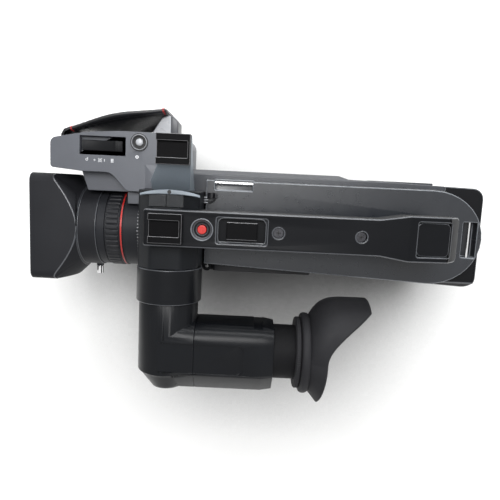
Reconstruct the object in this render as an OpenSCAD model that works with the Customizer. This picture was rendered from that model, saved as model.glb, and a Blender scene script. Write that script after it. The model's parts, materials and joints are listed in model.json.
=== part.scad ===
// Shoulder camcorder in millimetres. +X is the rear, +Y the hand grip's side, +Z up.
// The origin is the mouth of the tripod socket, under the base plate.

/* [Body] */
// Rise of the deck above the casing
deck_rise = 12; // [10:0.5:13]
// Height of the side walls, where the deck stands on them
body_top = 148; // [146:1:151]
// Underside of the casing
body_floor = 8; // [7:0.5:10]
// Front face of the casing
front_x = -93; // [-96:1:-91]
// Rear face of the casing
rear_x = 213; // [211:1:222]
// Face of the right side
right_y = 48.5; // [47:0.5:51]
// Face of the left side, ahead of the screen
left_y = -50; // [-53:0.5:-49]
// Wall of the casing
wall = 2.5; // [2.2:0.1:3]
// Depth of the step that the screen lies in
screen_step = 12.5; // [12:0.1:13]
// Rear end of the bulge on the right side
bulge_x = 80; // [74:1:86]
// Joint between the side shells and the rear block
seam_x = 176; // [175:1:178]
// Radius of the casing's rear corners
corner_r = 10; // [6:1:14]
// Thickness of the front panel
bezel_t = 7; // [6:0.5:8]

/* [Shoulder arch] */
// Front foot of the arch
arch_x0 = 42; // [41:1:48]
// Rear foot of the arch
arch_x1 = 160; // [150:1:164]
// Height of the arch in the casing
arch_z = 44; // [40:1:48]
// Thickness of the shoulder pad
pad_t = 6; // [4:0.5:8]
// Half width of the shoulder pad
pad_half_w = 32; // [26:1:34]

/* [Base] */
// Length of the base plate ahead of the socket
base_front = 68; // [60:1:72]
// Length of the base plate behind the socket
base_back = 36; // [30:1:39]
// Half width of the base plate
base_half_w = 30; // [24:1:34]
// Wall radius of the tripod thread, a quarter inch with twenty turns
tripod_r = 2.6; // [2.5:0.05:2.7]
// Depth of the tripod thread
tripod_depth = 6.5; // [5.5:0.5:6.5]
// Radius of the locating pin's hole
pin_hole_r = 2.3; // [2.2:0.1:2.6]
// Distance from the tripod thread to the locating hole
pin_hole_x = 20; // [16:1:22]

/* [Lens] */
// Height of the lens axis
lens_z = 105; // [104:0.5:106]
// Place of the lens axis across the body
lens_y = -11.5; // [-12:0.5:-11]
// Outer radius of the plain barrel
barrel_r = 37.5; // [37:0.1:37.8]
// Outer radius of the inner lens tube
tube_r = 33; // [32:0.5:33.5]
// Wall of the inner lens tube
tube_wall = 3; // [2.5:0.1:3.2]
// Length of the plain barrel ahead of the casing
barrel_l = 28.8; // [27:0.2:30]
// Length of the coloured ring
red_l = 2.5; // [2:0.1:3]
// Length of the focus ring
focus_l = 14.4; // [12:0.2:16]
// Number of ribs on the focus ring
focus_ribs = 36; // [24:2:40]
// Length of the filter ring
filter_l = 7.4; // [6:0.2:8]
// Wall radius of the filter thread
filter_r = 28.6; // [28:0.1:28.8]
// Depth of the filter thread
filter_depth = 5; // [4:0.5:5.5]
// Travel of the zoom group
zoom_travel = 16; // [8:1:18]
// Travel of the focus group
focus_travel = 6; // [3:1:8]

/* [Lens hood] */
// Length of the hood ahead of its neck
hood_l = 43.8; // [41:0.2:46]
// Length of the neck behind the hood
neck_l = 17.6; // [16:0.2:19]
// Half width of the hood's mouth
hood_half_w = 50.5; // [48:0.5:52]
// Half height of the hood's mouth
hood_half_h = 40; // [36:1:42]
// Wall of the hood
hood_wall = 2.4; // [2:0.1:3]
// Length of the cone between the neck and the hood
hood_cone_l = 25; // [22:1:28]

/* [Hand grip] */
// Length of the grip ahead of the front panel
grip_l = 87; // [85:1:89]
// Outer face of the grip
grip_y = 79.5; // [79:0.5:82]
// Length of the grip beside the casing
grip_back_l = 38; // [36:1:40]
// Underside of the grip
grip_z = 72; // [68:1:76]
// Height of the lower step
step_top = 135; // [132:1:137]
// Length of the grip's zoom rocker
grip_rocker_l = 38; // [34:1:40]
// Width of the grip's zoom rocker
grip_rocker_w = 10.5; // [9:0.5:11]
// Radius of the photo button
photo_r = 3.5; // [3:0.1:3.8]
// Height of the hand strap
strap_h = 60; // [50:1:62]
// Thickness of the hand strap at its middle
strap_t = 8; // [6:0.5:8.5]

/* [Handle] */
// Rise of the handle's top above the cross tube
handle_rise = 16; // [14:0.5:19]
// Depth of the handle's bar
handle_h = 26; // [24:1:28]
// Half width of the handle's bar
handle_half_w = 14.5; // [14:0.5:15]
// Half width of the handle's rear block
handle_end_half_w = 18; // [17:0.5:19]
// Rear end of the handle
handle_end_x = 167; // [164:1:170]
// Place of the record button along the handle
rec_x = -38; // [-38.5:0.5:-37]
// Place of the zoom rocker along the handle
rocker_x = -7; // [-9:0.5:-6]
// Radius of the record button
rec_r = 3.5; // [3:0.1:3.8]

/* [Accessory shoes] */
// Slot width of a shoe, a standard 18.6
shoe_slot = 18.6; // [18.5:0.05:18.7]
// Gap between a shoe's lips, a standard 12.5
shoe_gap = 12.5; // [12.5:0.1:13]
// Slot height of a shoe
shoe_slot_h = 2.1; // [2:0.05:2.2]
// Length of a shoe
shoe_l = 26; // [24:0.5:28]

/* [Viewfinder] */
// Place of the viewfinder's tilt axis along the body
tilt_x = -69; // [-70:0.5:-68]
// Rise of the viewfinder's tilt axis above the casing
tilt_rise = 34; // [33:0.5:35]
// Outer radius of the collar
collar_r = 28; // [27.5:0.5:29]
// Length of the collar
collar_l = 29.5; // [26:0.5:31]
// How far the viewfinder's tube lies inside the arm's height
evf_inset = 0.4; // [0.3:0.1:1]
// Length of the arm behind the tilt axis
arm_l = 93; // [88:1:96]
// Width of the arm
arm_w = 60; // [58:0.5:61]
// Height of the arm
arm_h = 52; // [50:1:53]
// Outer radius of the eye tube
eye_r = 23.5; // [23:0.1:24]
// Length of the eye tube behind the arm
eye_l = 32; // [31:0.5:34]
// Outer radius of the dioptre ring
dioptre_r = 31; // [30:0.5:32]
// Height of the eyecup's wing ahead of its low side
wing_l = 41.5; // [36:0.1:46]

/* [Screen] */
// Length of the screen panel
screen_l = 100; // [90:1:103]
// Height of the screen panel
screen_h = 74; // [66:1:76]
// Thickness of the screen panel
screen_t = 9.5; // [9:0.1:10]
// Height of the screen panel's middle
screen_z = 100; // [98:1:102]

/* [Battery] */
// Depth of the battery from front to back
battery_d = 33; // [30:1:34]
// Width of the battery
battery_w = 44; // [40:1:46]
// Height of the battery
battery_h = 70; // [60:1:74]

/* [Terminal door] */
// Length of the terminal door
door_l = 62; // [56:1:66]
// Height of the terminal door
door_h = 84; // [76:1:88]
// Thickness of the terminal door
door_t = 2.6; // [2.4:0.1:3]

/* [Hidden] */
$fn = 48;

// One overrun serves all cuts, and the gaps are those between neighbours
over = 1;
seat_gap = 0.1;
side_gap = 0.3;
run_gap = 0.05;

// Outline helpers
function plane_xy(p) = [p.x, p.y];
function turn_area(p) = let (n = len(p))
    [for (i = [0:n - 1]) p[i].x * p[(i + 1) % n].y - p[(i + 1) % n].x * p[i].y];
function total(v, i = 0) = i >= len(v) ? 0 : v[i] + total(v, i + 1);
function unit(v) = v / norm(v);
function left_of(v) = [-v.y, v.x];

// Each corner moves along its bisector by d, towards the inside
function inset(p, d) = let (n = len(p), s = sign(total(turn_area(p))))
    [for (i = [0:n - 1])
        let (
            b = plane_xy(p[i]),
            before = s * left_of(unit(b - plane_xy(p[(i + n - 1) % n]))),
            after = s * left_of(unit(plane_xy(p[(i + 1) % n]) - b)),
            m = b + (before + after) * d / (1 + before * after)
        ) [m.x, m.y, max(p[i].z - d, 0)]];

// A corner of radius r becomes an arc of short flats
function corner_arc(a, b, c, r) = let (
        u = unit(a - b), v = unit(c - b),
        half = acos(max(-1, min(1, u * v))) / 2,
        centre = b + unit(u + v) * r / sin(half),
        s = b + u * r / tan(half) - centre, e = b + v * r / tan(half) - centre,
        a0 = atan2(s.y, s.x), sweep = ((atan2(e.y, e.x) - a0 + 540) % 360) - 180,
        n = max(2, ceil(abs(sweep) / 18))
    ) [for (i = [0:n]) centre + r * [cos(a0 + sweep * i / n), sin(a0 + sweep * i / n)]];
function rounded(p) = let (n = len(p))
    [for (i = [0:n - 1])
        each p[i].z > 0
            ? corner_arc(plane_xy(p[(i + n - 1) % n]), plane_xy(p[i]), plane_xy(p[(i + 1) % n]), p[i].z)
            : [plane_xy(p[i])]];
function rect(x0, y0, x1, y1, r) = rounded([[x0, y0, r], [x1, y0, r], [x1, y1, r], [x0, y1, r]]);

// Solids between two planes
module slab(p, z0, z1) { translate([0, 0, z0]) linear_extrude(z1 - z0) polygon(p); }
module across(p, y0, y1) { translate([0, y1, 0]) rotate([90, 0, 0]) linear_extrude(y1 - y0) polygon(p); }
module along(p, x0, x1) { translate([x0, 0, 0]) rotate([90, 0, 90]) linear_extrude(x1 - x0) polygon(p); }
module box(lo, hi) { translate(lo) cube(hi - lo); }
module rod_x(x0, x1, y, z, r, r1 = -1) {
    translate([x0, y, z]) rotate([0, 90, 0]) cylinder(h = x1 - x0, r1 = r, r2 = r1 < 0 ? r : r1);
}
module rod_y(y0, y1, x, z, r) { translate([x, y1, z]) rotate([90, 0, 0]) cylinder(h = y1 - y0, r = r); }
module rod_z(z0, z1, x, y, r) { translate([x, y, z0]) cylinder(h = z1 - z0, r = r); }
module ring_x(x0, x1, y, z, r, bore) {
    difference() {
        rod_x(x0, x1, y, z, r);
        rod_x(x0 - over, x1 + over, y, z, bore);
    }
}

// A skin over rings of points, with fans at its ends, or closed on itself
module loft(rings, closed = false) {
    m = len(rings[0]);
    n = len(rings);
    last = closed ? n - 1 : n - 2;
    polyhedron(
        points = [for (r = rings) each r],
        faces = concat(
            [for (i = [0:last], j = [0:m - 1]) [i * m + (j + 1) % m, i * m + j, ((i + 1) % n) * m + j]],
            [for (i = [0:last], j = [0:m - 1])
                [((i + 1) % n) * m + (j + 1) % m, i * m + (j + 1) % m, ((i + 1) % n) * m + j]],
            closed ? [] : [for (j = [1:m - 2]) [0, j, j + 1]],
            closed ? [] : [for (j = [1:m - 2]) [(n - 1) * m, (n - 1) * m + j + 1, (n - 1) * m + j]]
        )
    );
}

deck_top = body_top + deck_rise;
tilt_z = body_top + tilt_rise;

// Places along the lens, from the casing forwards
bezel_x0 = front_x - bezel_t;
barrel_x0 = front_x - barrel_l;
red_x0 = barrel_x0 - red_l;
focus_x1 = red_x0 - side_gap;
focus_x0 = focus_x1 - focus_l;
filter_x1 = focus_x0 - side_gap;
filter_x0 = filter_x1 - filter_l;
neck_x1 = filter_x0 - seat_gap;
neck_x0 = neck_x1 - neck_l;
hood_x0 = neck_x0 - hood_l;
tube_nose = 5;
tube_x0 = filter_x0 - tube_nose;
tube_tail = 31;
tube_x1 = front_x + tube_tail;
tube_bore = tube_r - tube_wall;

// Casing
bulge_bevel = 8;
bulge_step = 3;
rear_taper = 6;
rear_flare = 1.3;
left_rear_step = 7.3;
screen_x0 = -48;
screen_bay_margin = 18;
screen_bay_l = screen_l + screen_bay_margin;
chin_l = 13;
chin_h = 32;
arch_slope_l = 14;
arch_r = 12;
foot_chamfer = 8;
edge_bevel_w = 4;
edge_bevel_h = 8;
recess_y = left_y + screen_step;

function body_plan(d) = rounded(inset([
    [front_x, right_y, 0],
    [bulge_x, right_y, 0],
    [bulge_x + bulge_bevel, right_y - bulge_step, 0],
    [rear_x, right_y - rear_taper, corner_r],
    [rear_x, left_y - rear_flare, corner_r],
    [screen_x0 + screen_bay_l, left_y + left_rear_step, 0],
    [screen_x0 + screen_bay_l, recess_y, 0],
    [screen_x0, recess_y, 0],
    [screen_x0, left_y, 0],
    [front_x, left_y, 0]
], d));
function body_side(d) = rounded(inset([
    [front_x, body_floor + chin_h, 0],
    [front_x + chin_l, body_floor, 0],
    [arch_x0, body_floor, 0],
    [arch_x0 + arch_slope_l, arch_z, arch_r],
    [arch_x1 - arch_slope_l, arch_z, arch_r],
    [arch_x1, body_floor, 0],
    [rear_x - foot_chamfer, body_floor, 0],
    [rear_x, body_floor + foot_chamfer, 0],
    [rear_x, body_top, 0],
    [front_x, body_top, 0]
], d));
function body_section(d) = rounded(inset([
    [left_y - 2 * rear_flare, body_floor + edge_bevel_w, 0],
    [left_y + edge_bevel_w, body_floor, 0],
    [right_y - edge_bevel_w, body_floor, 0],
    [right_y, body_floor + edge_bevel_w, 0],
    [right_y, body_top - edge_bevel_h, 0],
    [right_y - edge_bevel_w, body_top, 0],
    [left_y + edge_bevel_w, body_top, 0],
    [left_y - 2 * rear_flare, body_top - edge_bevel_h, 0]
], d));
module body_volume(d) {
    intersection() {
        slab(body_plan(d), body_floor + d, body_top - d);
        across(body_side(d), left_y - edge_bevel_h, right_y + edge_bevel_h);
        along(body_section(d), front_x - over, rear_x + over);
    }
}
module casing() {
    difference() {
        body_volume(0);
        body_volume(wall);
    }
}

// Screws through the base plate
screw_r = 2;
screw_head_r = 3.6;
screw_head_h = 2;
screw_inset = 8;
screw_l = 12;
screw_sink = 0.6;
base_screws_at = [for (x = [-base_front + 2 * screw_inset, base_back - screw_inset],
    y = [-base_half_w + screw_inset, base_half_w - screw_inset]) [x, y]];
module base_screw_holes(r) {
    for (p = base_screws_at) rod_z(-over, screw_l + screw_sink + 2 * over, p.x, p.y, r);
}

base_corner_r = 8;
module base_plate() {
    color("dimgray") difference() {
        slab(rect(-base_front, -base_half_w, base_back, base_half_w, base_corner_r),
            0, body_floor - seat_gap);
        rod_z(-over, tripod_depth, 0, 0, tripod_r);
        rod_z(-over, tripod_depth - over, pin_hole_x, 0, pin_hole_r);
        base_screw_holes(screw_r + seat_gap);
        for (p = base_screws_at)
            rod_z(-over, screw_sink + screw_head_h + seat_gap, p.x, p.y, screw_head_r + seat_gap);
    }
}

module base_screws() {
    color("silver") for (p = base_screws_at) union() {
        rod_z(screw_sink, screw_sink + screw_head_h, p.x, p.y, screw_head_r);
        rod_z(screw_sink + screw_head_h, screw_sink + screw_l, p.x, p.y, screw_r);
    }
}

// Chassis: floor plate, lens flange and board wall
chassis_t = 3;
chassis_y = 27;
flange_back = 17;
flange_x = front_x + flange_back;
flange_half = 40;
flange_lift = 5;
board_y = 9;
board_back = 45;
board_x0 = front_x + board_back;
board_l = 190;
board_clear = 8;
board_z0 = arch_z + board_clear;
board_top = body_top - board_clear - wall;
chassis_z0 = body_floor + wall + seat_gap;
module chassis() {
    color("lightslategray") difference() {
        union() {
            box([flange_x, -chassis_y, chassis_z0], [arch_x0 - chassis_t, chassis_y, chassis_z0 + chassis_t]);
            box([flange_x, left_y + 2 * wall, chassis_z0],
                [flange_x + chassis_t, lens_y + flange_half, lens_z + flange_half - flange_lift]);
            box([board_x0, board_y, chassis_z0],
                [arch_x0 - chassis_t, board_y + chassis_t, board_top]);
            box([board_x0, board_y, board_z0], [board_x0 + board_l, board_y + chassis_t, board_top]);
        }
        rod_x(flange_x - over, flange_x + chassis_t + over, lens_y, lens_z, tube_r + run_gap);
        base_screw_holes(screw_r + seat_gap);
    }
}

// Terminal opening and its door, on the right side
door_x0 = 108;
door_z0 = 50;
door_pin_r = 1.5;
door_lip = 5;
door_y = right_y - bulge_step - wall;
door_x1 = door_x0 + door_l;
module door_recess() {
    box([door_x0 - side_gap, door_y, door_z0 - 2 * door_pin_r - side_gap],
        [door_x1 + side_gap, right_y + over, door_z0 + door_h + side_gap]);
    box([door_x0 + door_lip - side_gap, door_y - 2 * wall, door_z0 + door_lip - side_gap],
        [door_x1 - door_lip + side_gap, door_y + over, door_z0 + door_h - door_lip + side_gap]);
}
module lens_bore() { rod_x(front_x - over, front_x + 2 * wall, lens_y, lens_z, tube_r + seat_gap); }

// Two ears and a vertical pin carry the screen
hinge_r = 4.6;
hinge_clear = 0.8;
hinge_back = 7;
hinge_x = screen_x0 + hinge_back;
hinge_y = recess_y - hinge_r - hinge_clear;
hinge_pin_r = 1.5;
ear_h = 8;
ear_z0 = screen_z - screen_h / 2;
ear_z1 = screen_z + screen_h / 2;
module hinge_ears() {
    for (z = [ear_z0, ear_z1 - ear_h]) difference() {
        union() {
            rod_z(z, z + ear_h, hinge_x, hinge_y, hinge_r);
            box([hinge_x - hinge_r, hinge_y, z], [hinge_x + hinge_r, recess_y + wall / 2, z + ear_h]);
        }
        rod_z(z - over, z + ear_h + over, hinge_x, hinge_y, hinge_pin_r + run_gap);
    }
}

module left_shell() {
    color("#2b2e33") {
        difference() {
            casing();
            box([front_x - over, 0, 0], [rear_x + over, right_y + over, deck_top]);
            box([seam_x, left_y - left_rear_step, 0], [rear_x + over, over, deck_top]);
            base_screw_holes(screw_r + seat_gap);
            lens_bore();
        }
        hinge_ears();
    }
}

module right_shell() {
    color("#4a4f58") difference() {
        casing();
        box([front_x - over, left_y - left_rear_step, 0], [rear_x + over, 0, deck_top]);
        box([seam_x, -over, 0], [rear_x + over, right_y + over, deck_top]);
        base_screw_holes(screw_r + seat_gap);
        lens_bore();
        door_recess();
    }
}

// Rear block with the battery bay
battery_sink = 0.5;
battery_x1 = rear_x - battery_sink;
battery_x0 = battery_x1 - battery_d;
battery_side = 12;
battery_y0 = left_y + battery_side;
battery_y1 = battery_y0 + battery_w;
battery_z0 = 28;
battery_z1 = battery_z0 + battery_h;
release_y = -18.5;
release_z = 134;
release_r = 4;
release_travel = 1.5;
release_stick = 4;
jack_r = 1.8;
jack_depth = 12;
jack_y = 24;
jack_z = 118;
jack_wall = 3;
module rear_block() {
    color("#1c1d20") difference() {
        union() {
            difference() {
                casing();
                box([front_x - over, left_y - left_rear_step, 0], [seam_x, right_y + over, deck_top]);
            }
            intersection() {
                body_volume(wall / 2);
                union() {
                    box([battery_x0 - wall, battery_y0 - wall, battery_z0 - wall],
                        [rear_x, battery_y1 + wall, battery_z1 + wall]);
                    rod_x(rear_x - jack_depth - jack_wall, rear_x, jack_y, jack_z, jack_r + jack_wall);
                    rod_x(rear_x - jack_depth, rear_x, release_y, release_z, release_r + jack_wall);
                }
            }
        }
        box([battery_x0 - side_gap, battery_y0 - side_gap, battery_z0 - side_gap],
            [rear_x + over, battery_y1 + side_gap, battery_z1 + side_gap]);
        rod_x(rear_x - jack_depth, rear_x + over, jack_y, jack_z, jack_r);
        rod_x(rear_x - jack_depth + wall, rear_x + over, release_y, release_z, release_r + side_gap);
    }
}

module battery() {
    color("#17181a") along(rect(battery_y0, battery_z0, battery_y1, battery_z1, wall), battery_x0, battery_x1);
}

module battery_release() {
    color("#2a2a2c")
        rod_x(rear_x - jack_depth + wall + release_travel + side_gap, rear_x + release_stick,
            release_y, release_z, release_r);
}

module front_bezel() {
    color("#3b3f47") difference() {
        along(rect(left_y, body_floor + chin_h, right_y, body_top, bezel_t / 2),
            bezel_x0, front_x - seat_gap);
        rod_x(bezel_x0 - over, front_x + over, lens_y, lens_z, barrel_r + seat_gap);
        box([bezel_x0 - over, tower_right, body_top - wall - seat_gap],
            [front_x + over, right_y + over, body_top + over]);
    }
}

// Top deck, with a half-oval rear end
evf_r = arm_h / 2 - evf_inset;
tower_half = evf_r - seat_gap;
deck_gap = 1.8;
deck_x0 = tilt_x + tower_half + deck_gap;
deck_oval_x = 163.5;
deck_oval_l = 45.8;
deck_side = 9.5;
deck_right = right_y - deck_side;
deck_left_front = -36.6;
deck_left_rear = -45.9;
deck_edge = 3;
deck_z0 = body_top + seat_gap;
function deck_outline(d) = let (
        mid = (deck_right + deck_left_rear) / 2,
        half = (deck_right - deck_left_rear) / 2 + d
    ) concat(
        [[deck_x0, deck_left_front - d]],
        [for (a = [-90:10:90]) [deck_oval_x + (deck_oval_l + d) * cos(a), mid + half * sin(a)]],
        [[deck_x0, deck_right + d]]
    );

// Recesses for the two shoulder strap bars
bar_r = 1.25;
bar_sink = 3;
bar_z = deck_top - bar_sink;
recess_depth = 10;
recess_z = deck_top - recess_depth;
front_bar_x0 = -34;
front_bar_l = 34;
front_bar_side = 2;
front_bar_y = deck_right - front_bar_side;
front_recess_w = 9;
rear_bar_x = 198;
rear_bar_y0 = -20;
rear_bar_l = 32;
rear_recess_w = 13;
module strap_recesses(d) {
    box([front_bar_x0 - d, front_bar_y - front_recess_w + 2 * bar_r - d, recess_z - d],
        [front_bar_x0 + front_bar_l + d, deck_right + 2 * deck_edge, deck_top + over]);
    box([rear_bar_x - rear_recess_w / 2 - d, rear_bar_y0 - d, recess_z - d],
        [rear_bar_x + rear_recess_w / 2 + d, rear_bar_y0 + rear_bar_l + d, deck_top + over]);
}
module deck_body() {
    hull() {
        slab(deck_outline(deck_edge / 2), deck_z0, body_top + deck_edge);
        slab(deck_outline(0), deck_top - over, deck_top);
    }
}
module top_deck() {
    color("#565d69") difference() {
        union() {
            difference() {
                deck_body();
                slab(deck_outline(-deck_edge), deck_z0 - over, deck_top - wall);
            }
            intersection() {
                slab(deck_outline(0), deck_z0, deck_top);
                strap_recesses(wall / 2);
            }
        }
        strap_recesses(0);
    }
}

module strap_bars() {
    color("silver") {
        rod_x(front_bar_x0 + seat_gap, front_bar_x0 + front_bar_l - seat_gap,
            front_bar_y, bar_z, bar_r);
        rod_y(rear_bar_y0 + seat_gap, rear_bar_y0 + rear_bar_l - seat_gap, rear_bar_x, bar_z, bar_r);
    }
}

// Cable clip on the deck
clip_back = 5.7;
clip_x = deck_x0 + clip_back;
clip_y = 23;
clip_r = 4.2;
clip_bore = 2.6;
clip_w = 5;
module cable_clip() {
    color("#202226") difference() {
        rod_y(clip_y, clip_y + clip_w, clip_x, deck_top + seat_gap + clip_r, clip_r);
        rod_y(clip_y - over, clip_y + clip_w + over, clip_x, deck_top + seat_gap + clip_r, clip_bore);
        box([clip_x, clip_y - over, deck_top + seat_gap + clip_r],
            [clip_x + 2 * clip_r, clip_y + clip_w + over, deck_top + 2 * clip_r]);
    }
}

// Pad under the arch
function arch_outline(d) = rounded(inset([
    [arch_x0, body_floor, 0],
    [arch_x0 + arch_slope_l, arch_z, arch_r],
    [arch_x1 - arch_slope_l, arch_z, arch_r],
    [arch_x1, body_floor, 0]
], d));
pad_foot_z = body_floor + 2 * pad_t;
module shoulder_pad() {
    color("#191a1c") difference() {
        across(arch_outline(seat_gap), -pad_half_w, pad_half_w);
        across(arch_outline(seat_gap + pad_t), -pad_half_w - over, pad_half_w + over);
        box([arch_x0, -pad_half_w - over, 0], [arch_x1, pad_half_w + over, pad_foot_z]);
    }
}

foot_l = 24;
foot_w = 14;
foot_y = 22;
module rear_feet() {
    color("#141516") for (s = [-1, 1])
        slab(rect(seam_x, s * foot_y - foot_w / 2, seam_x + foot_l, s * foot_y + foot_w / 2, wall),
            0, body_floor - seat_gap);
}

// Handle: two shells, split at mid height, over the cross tube in front
bar_x0 = deck_x0;
nose_l = 15;
nose_x = tilt_x - nose_l;
tower_top = tilt_z + arm_h / 2;
handle_top = tower_top + handle_rise;
handle_z0 = handle_top - handle_h;
split_z = handle_top - handle_h / 2;
end_slope_l = 44;
end_drop = 16;
flare_l = 22;
leg_l = 42;
leg_x0 = handle_end_x - leg_l;
leg_half_w = 15;
handle_r = 6;
nose_r = 2;
end_r = 4;
function handle_plan(d) = rounded(inset([
    [nose_x, -handle_half_w, nose_r],
    [handle_end_x - end_slope_l - flare_l, -handle_half_w, 0],
    [handle_end_x - end_slope_l, -handle_end_half_w, 0],
    [handle_end_x, -handle_end_half_w, end_r],
    [handle_end_x, handle_end_half_w, end_r],
    [handle_end_x - end_slope_l, handle_end_half_w, 0],
    [handle_end_x - end_slope_l - flare_l, handle_half_w, 0],
    [nose_x, handle_half_w, nose_r]
], d));
function handle_side(d) = rounded(inset([
    [nose_x, split_z, 0],
    [bar_x0, split_z, 0],
    [handle_end_x, split_z - end_drop / 2, 0],
    [handle_end_x, handle_top - end_drop, end_r],
    [handle_end_x - end_slope_l / 4, handle_top - end_drop / 4, handle_r],
    [handle_end_x - end_slope_l, handle_top, handle_r],
    [nose_x, handle_top, handle_r / 2]
], d));
rocker_l = 24;
rocker_w = 14;
pocket_l = 39;
pocket_w = 20;
pocket_depth = 6;
rec_ring_r = 7.5;
rec_travel = 1;
rec_depth = 9;
handle_screw_x = [21.5, 86];
handle_screw_r = 4.2;
handle_screw_depth = 6;
cover_l = 26;
cover_w = 27;
cover_t = 2;
cover_back = 37;
cover_x0 = handle_end_x - cover_back;
cover_z = handle_top - end_drop / 4;
module handle_cover_cut(d) {
    box([cover_x0 - d, -cover_w / 2 - d, cover_z - 2 * cover_t - d],
        [cover_x0 + cover_l + d, cover_w / 2 + d, handle_top + over]);
}
module handle_upper_skin(d) {
    intersection() {
        slab(handle_plan(d), split_z - end_drop, handle_top + over);
        across(handle_side(d), -handle_end_half_w - over, handle_end_half_w + over);
    }
}
module handle_upper() {
    color("#1d2024") difference() {
        handle_upper_skin(0);
        box([nose_x - over, -handle_end_half_w - over, 0],
            [bar_x0, handle_end_half_w + over, tower_top + seat_gap]);
        box([rocker_x - pocket_l / 2, -pocket_w / 2, handle_top - pocket_depth],
            [rocker_x + pocket_l / 2, pocket_w / 2, handle_top + over]);
        rod_z(handle_top - rec_depth, handle_top + over, rec_x, 0, rec_r + side_gap);
        rod_z(handle_top - wall, handle_top + over, rec_x, 0, rec_ring_r);
        for (x = handle_screw_x)
            rod_z(handle_top - handle_screw_depth, handle_top + over, x, 0, handle_screw_r);
        handle_cover_cut(0);
    }
}

module handle_lower() {
    color("#24272c") {
        difference() {
            intersection() {
                slab(handle_plan(0), handle_z0 - end_drop, split_z);
                across(rounded([
                    [bar_x0 + seat_gap, handle_z0, 0],
                    [leg_x0 - handle_r, handle_z0, 0],
                    [handle_end_x, handle_z0 - end_drop / 2, 0],
                    [handle_end_x, split_z - end_drop / 2 - seat_gap, 0],
                    [bar_x0 + seat_gap, split_z - seat_gap, 0]
                ]), -handle_end_half_w, handle_end_half_w);
            }
            box([nose_x, -handle_end_half_w - over, 0], [bar_x0 + seat_gap, handle_end_half_w + over, handle_top]);
        }
        across(rounded([
            [leg_x0, handle_z0 + wall, 0],
            [leg_x0 + wall, deck_top + handle_r, handle_r / 2],
            [leg_x0 - handle_r / 2, deck_top + seat_gap, 0],
            [handle_end_x, deck_top + seat_gap, 0],
            [handle_end_x - wall, handle_z0, 0]
        ]), -leg_half_w, leg_half_w);
    }
}

module handle_cover() {
    color("#15171a") slab(
        rect(cover_x0 + side_gap, -cover_w / 2 + side_gap, cover_x0 + cover_l - side_gap,
            cover_w / 2 - side_gap, 2 * cover_t),
        cover_z - 2 * cover_t + seat_gap, cover_z);
}

module handle_screws() {
    color("#3a3a3c") for (x = handle_screw_x)
        rod_z(handle_top - handle_screw_depth + seat_gap, handle_top - wall, x, 0, handle_screw_r - side_gap);
}

// A rocker lies on a round rib and tips about it
rib_r = 1.6;
module rocker(x, y, floor_z, l, w, top_z) {
    z = floor_z + rib_r + seat_gap;
    union() {
        rod_y(y - w / 2 + seat_gap, y + w / 2 - seat_gap, x, z, rib_r);
        across(rounded([
            [x - l / 2, z + rib_r / 2, 0],
            [x + l / 2, z + rib_r / 2, 0],
            [x + l / 2, top_z, rib_r / 2],
            [x, top_z - rib_r / 2, l],
            [x - l / 2, top_z, rib_r / 2]
        ]), y - w / 2, y + w / 2);
    }
}
module handle_rocker() {
    color("#101113")
        rocker(rocker_x, 0, handle_top - pocket_depth, rocker_l, rocker_w, handle_top - over / 2);
}

rec_stick = 1.4;
module record_button() {
    color("crimson") rod_z(handle_top - rec_depth + rec_travel + side_gap, handle_top - wall + rec_stick + rec_travel,
        rec_x, 0, rec_r);
}

// An accessory shoe, its slot along X
shoe_wall = 2.2;
shoe_base = 2;
shoe_lip = 1.5;
shoe_w = shoe_slot + 2 * shoe_wall;
shoe_h = shoe_base + shoe_slot_h + shoe_lip;
module shoe(x0, y, z0) {
    difference() {
        box([x0, y - shoe_w / 2, z0], [x0 + shoe_l, y + shoe_w / 2, z0 + shoe_h]);
        box([x0 - over, y - shoe_slot / 2, z0 + shoe_base],
            [x0 + shoe_l - shoe_wall, y + shoe_slot / 2, z0 + shoe_base + shoe_slot_h]);
        box([x0 - over, y - shoe_gap / 2, z0 + shoe_base],
            [x0 + shoe_l - shoe_wall, y + shoe_gap / 2, z0 + shoe_h + over]);
    }
}
shoe_back = 5;
shoe_x0 = nose_x + shoe_back;
shoe_z0 = handle_top + seat_gap;
module handle_shoe() { color("#0c0d0e") shoe(shoe_x0, 0, shoe_z0); }

side_shoe_x0 = tilt_x - shoe_back;
side_shoe_out = 11.5;
side_shoe_y = right_y + side_shoe_out;
side_shoe_z0 = handle_top;
module side_shoe() { color("#0c0d0e") shoe(side_shoe_x0, side_shoe_y, side_shoe_z0 + seat_gap); }

// Cross tube: the tower that carries the handle's nose and the viewfinder
tower_right = 28.5;
tower_left = -36;
tower_wall = 3;
spigot_r = 20;
function tower_outline(d) = rounded(inset([
    [tilt_x - tower_half, body_top + seat_gap, 0],
    [tilt_x + tower_half, body_top + seat_gap, 0],
    [tilt_x + tower_half, tilt_z + tower_half / 2, handle_r],
    [tilt_x + tower_half / 2, tower_top, handle_r],
    [tilt_x - tower_half / 2, tower_top, handle_r],
    [tilt_x - tower_half, tilt_z + tower_half / 2, handle_r]
], d));
grille_l = 28;
grille_w = 10.5;
grille_side = 1;
grille_y0 = handle_half_w + grille_side;
grille_t = 1.2;
module cross_tube() {
    color("#3c434c") difference() {
        across(tower_outline(0), tower_left, tower_right);
        across(tower_outline(tower_wall), tower_left + tower_wall, tower_right - tower_wall);
        box([tilt_x - tower_half + tower_wall, tower_left + tower_wall, body_top - over],
            [tilt_x + tower_half - tower_wall, tower_right - tower_wall, body_top + 2 * tower_wall]);
        box([tilt_x - grille_l / 2, grille_y0, tower_top - grille_t - seat_gap],
            [tilt_x + grille_l / 2, grille_y0 + grille_w, tower_top + over]);
    }
}

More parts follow.
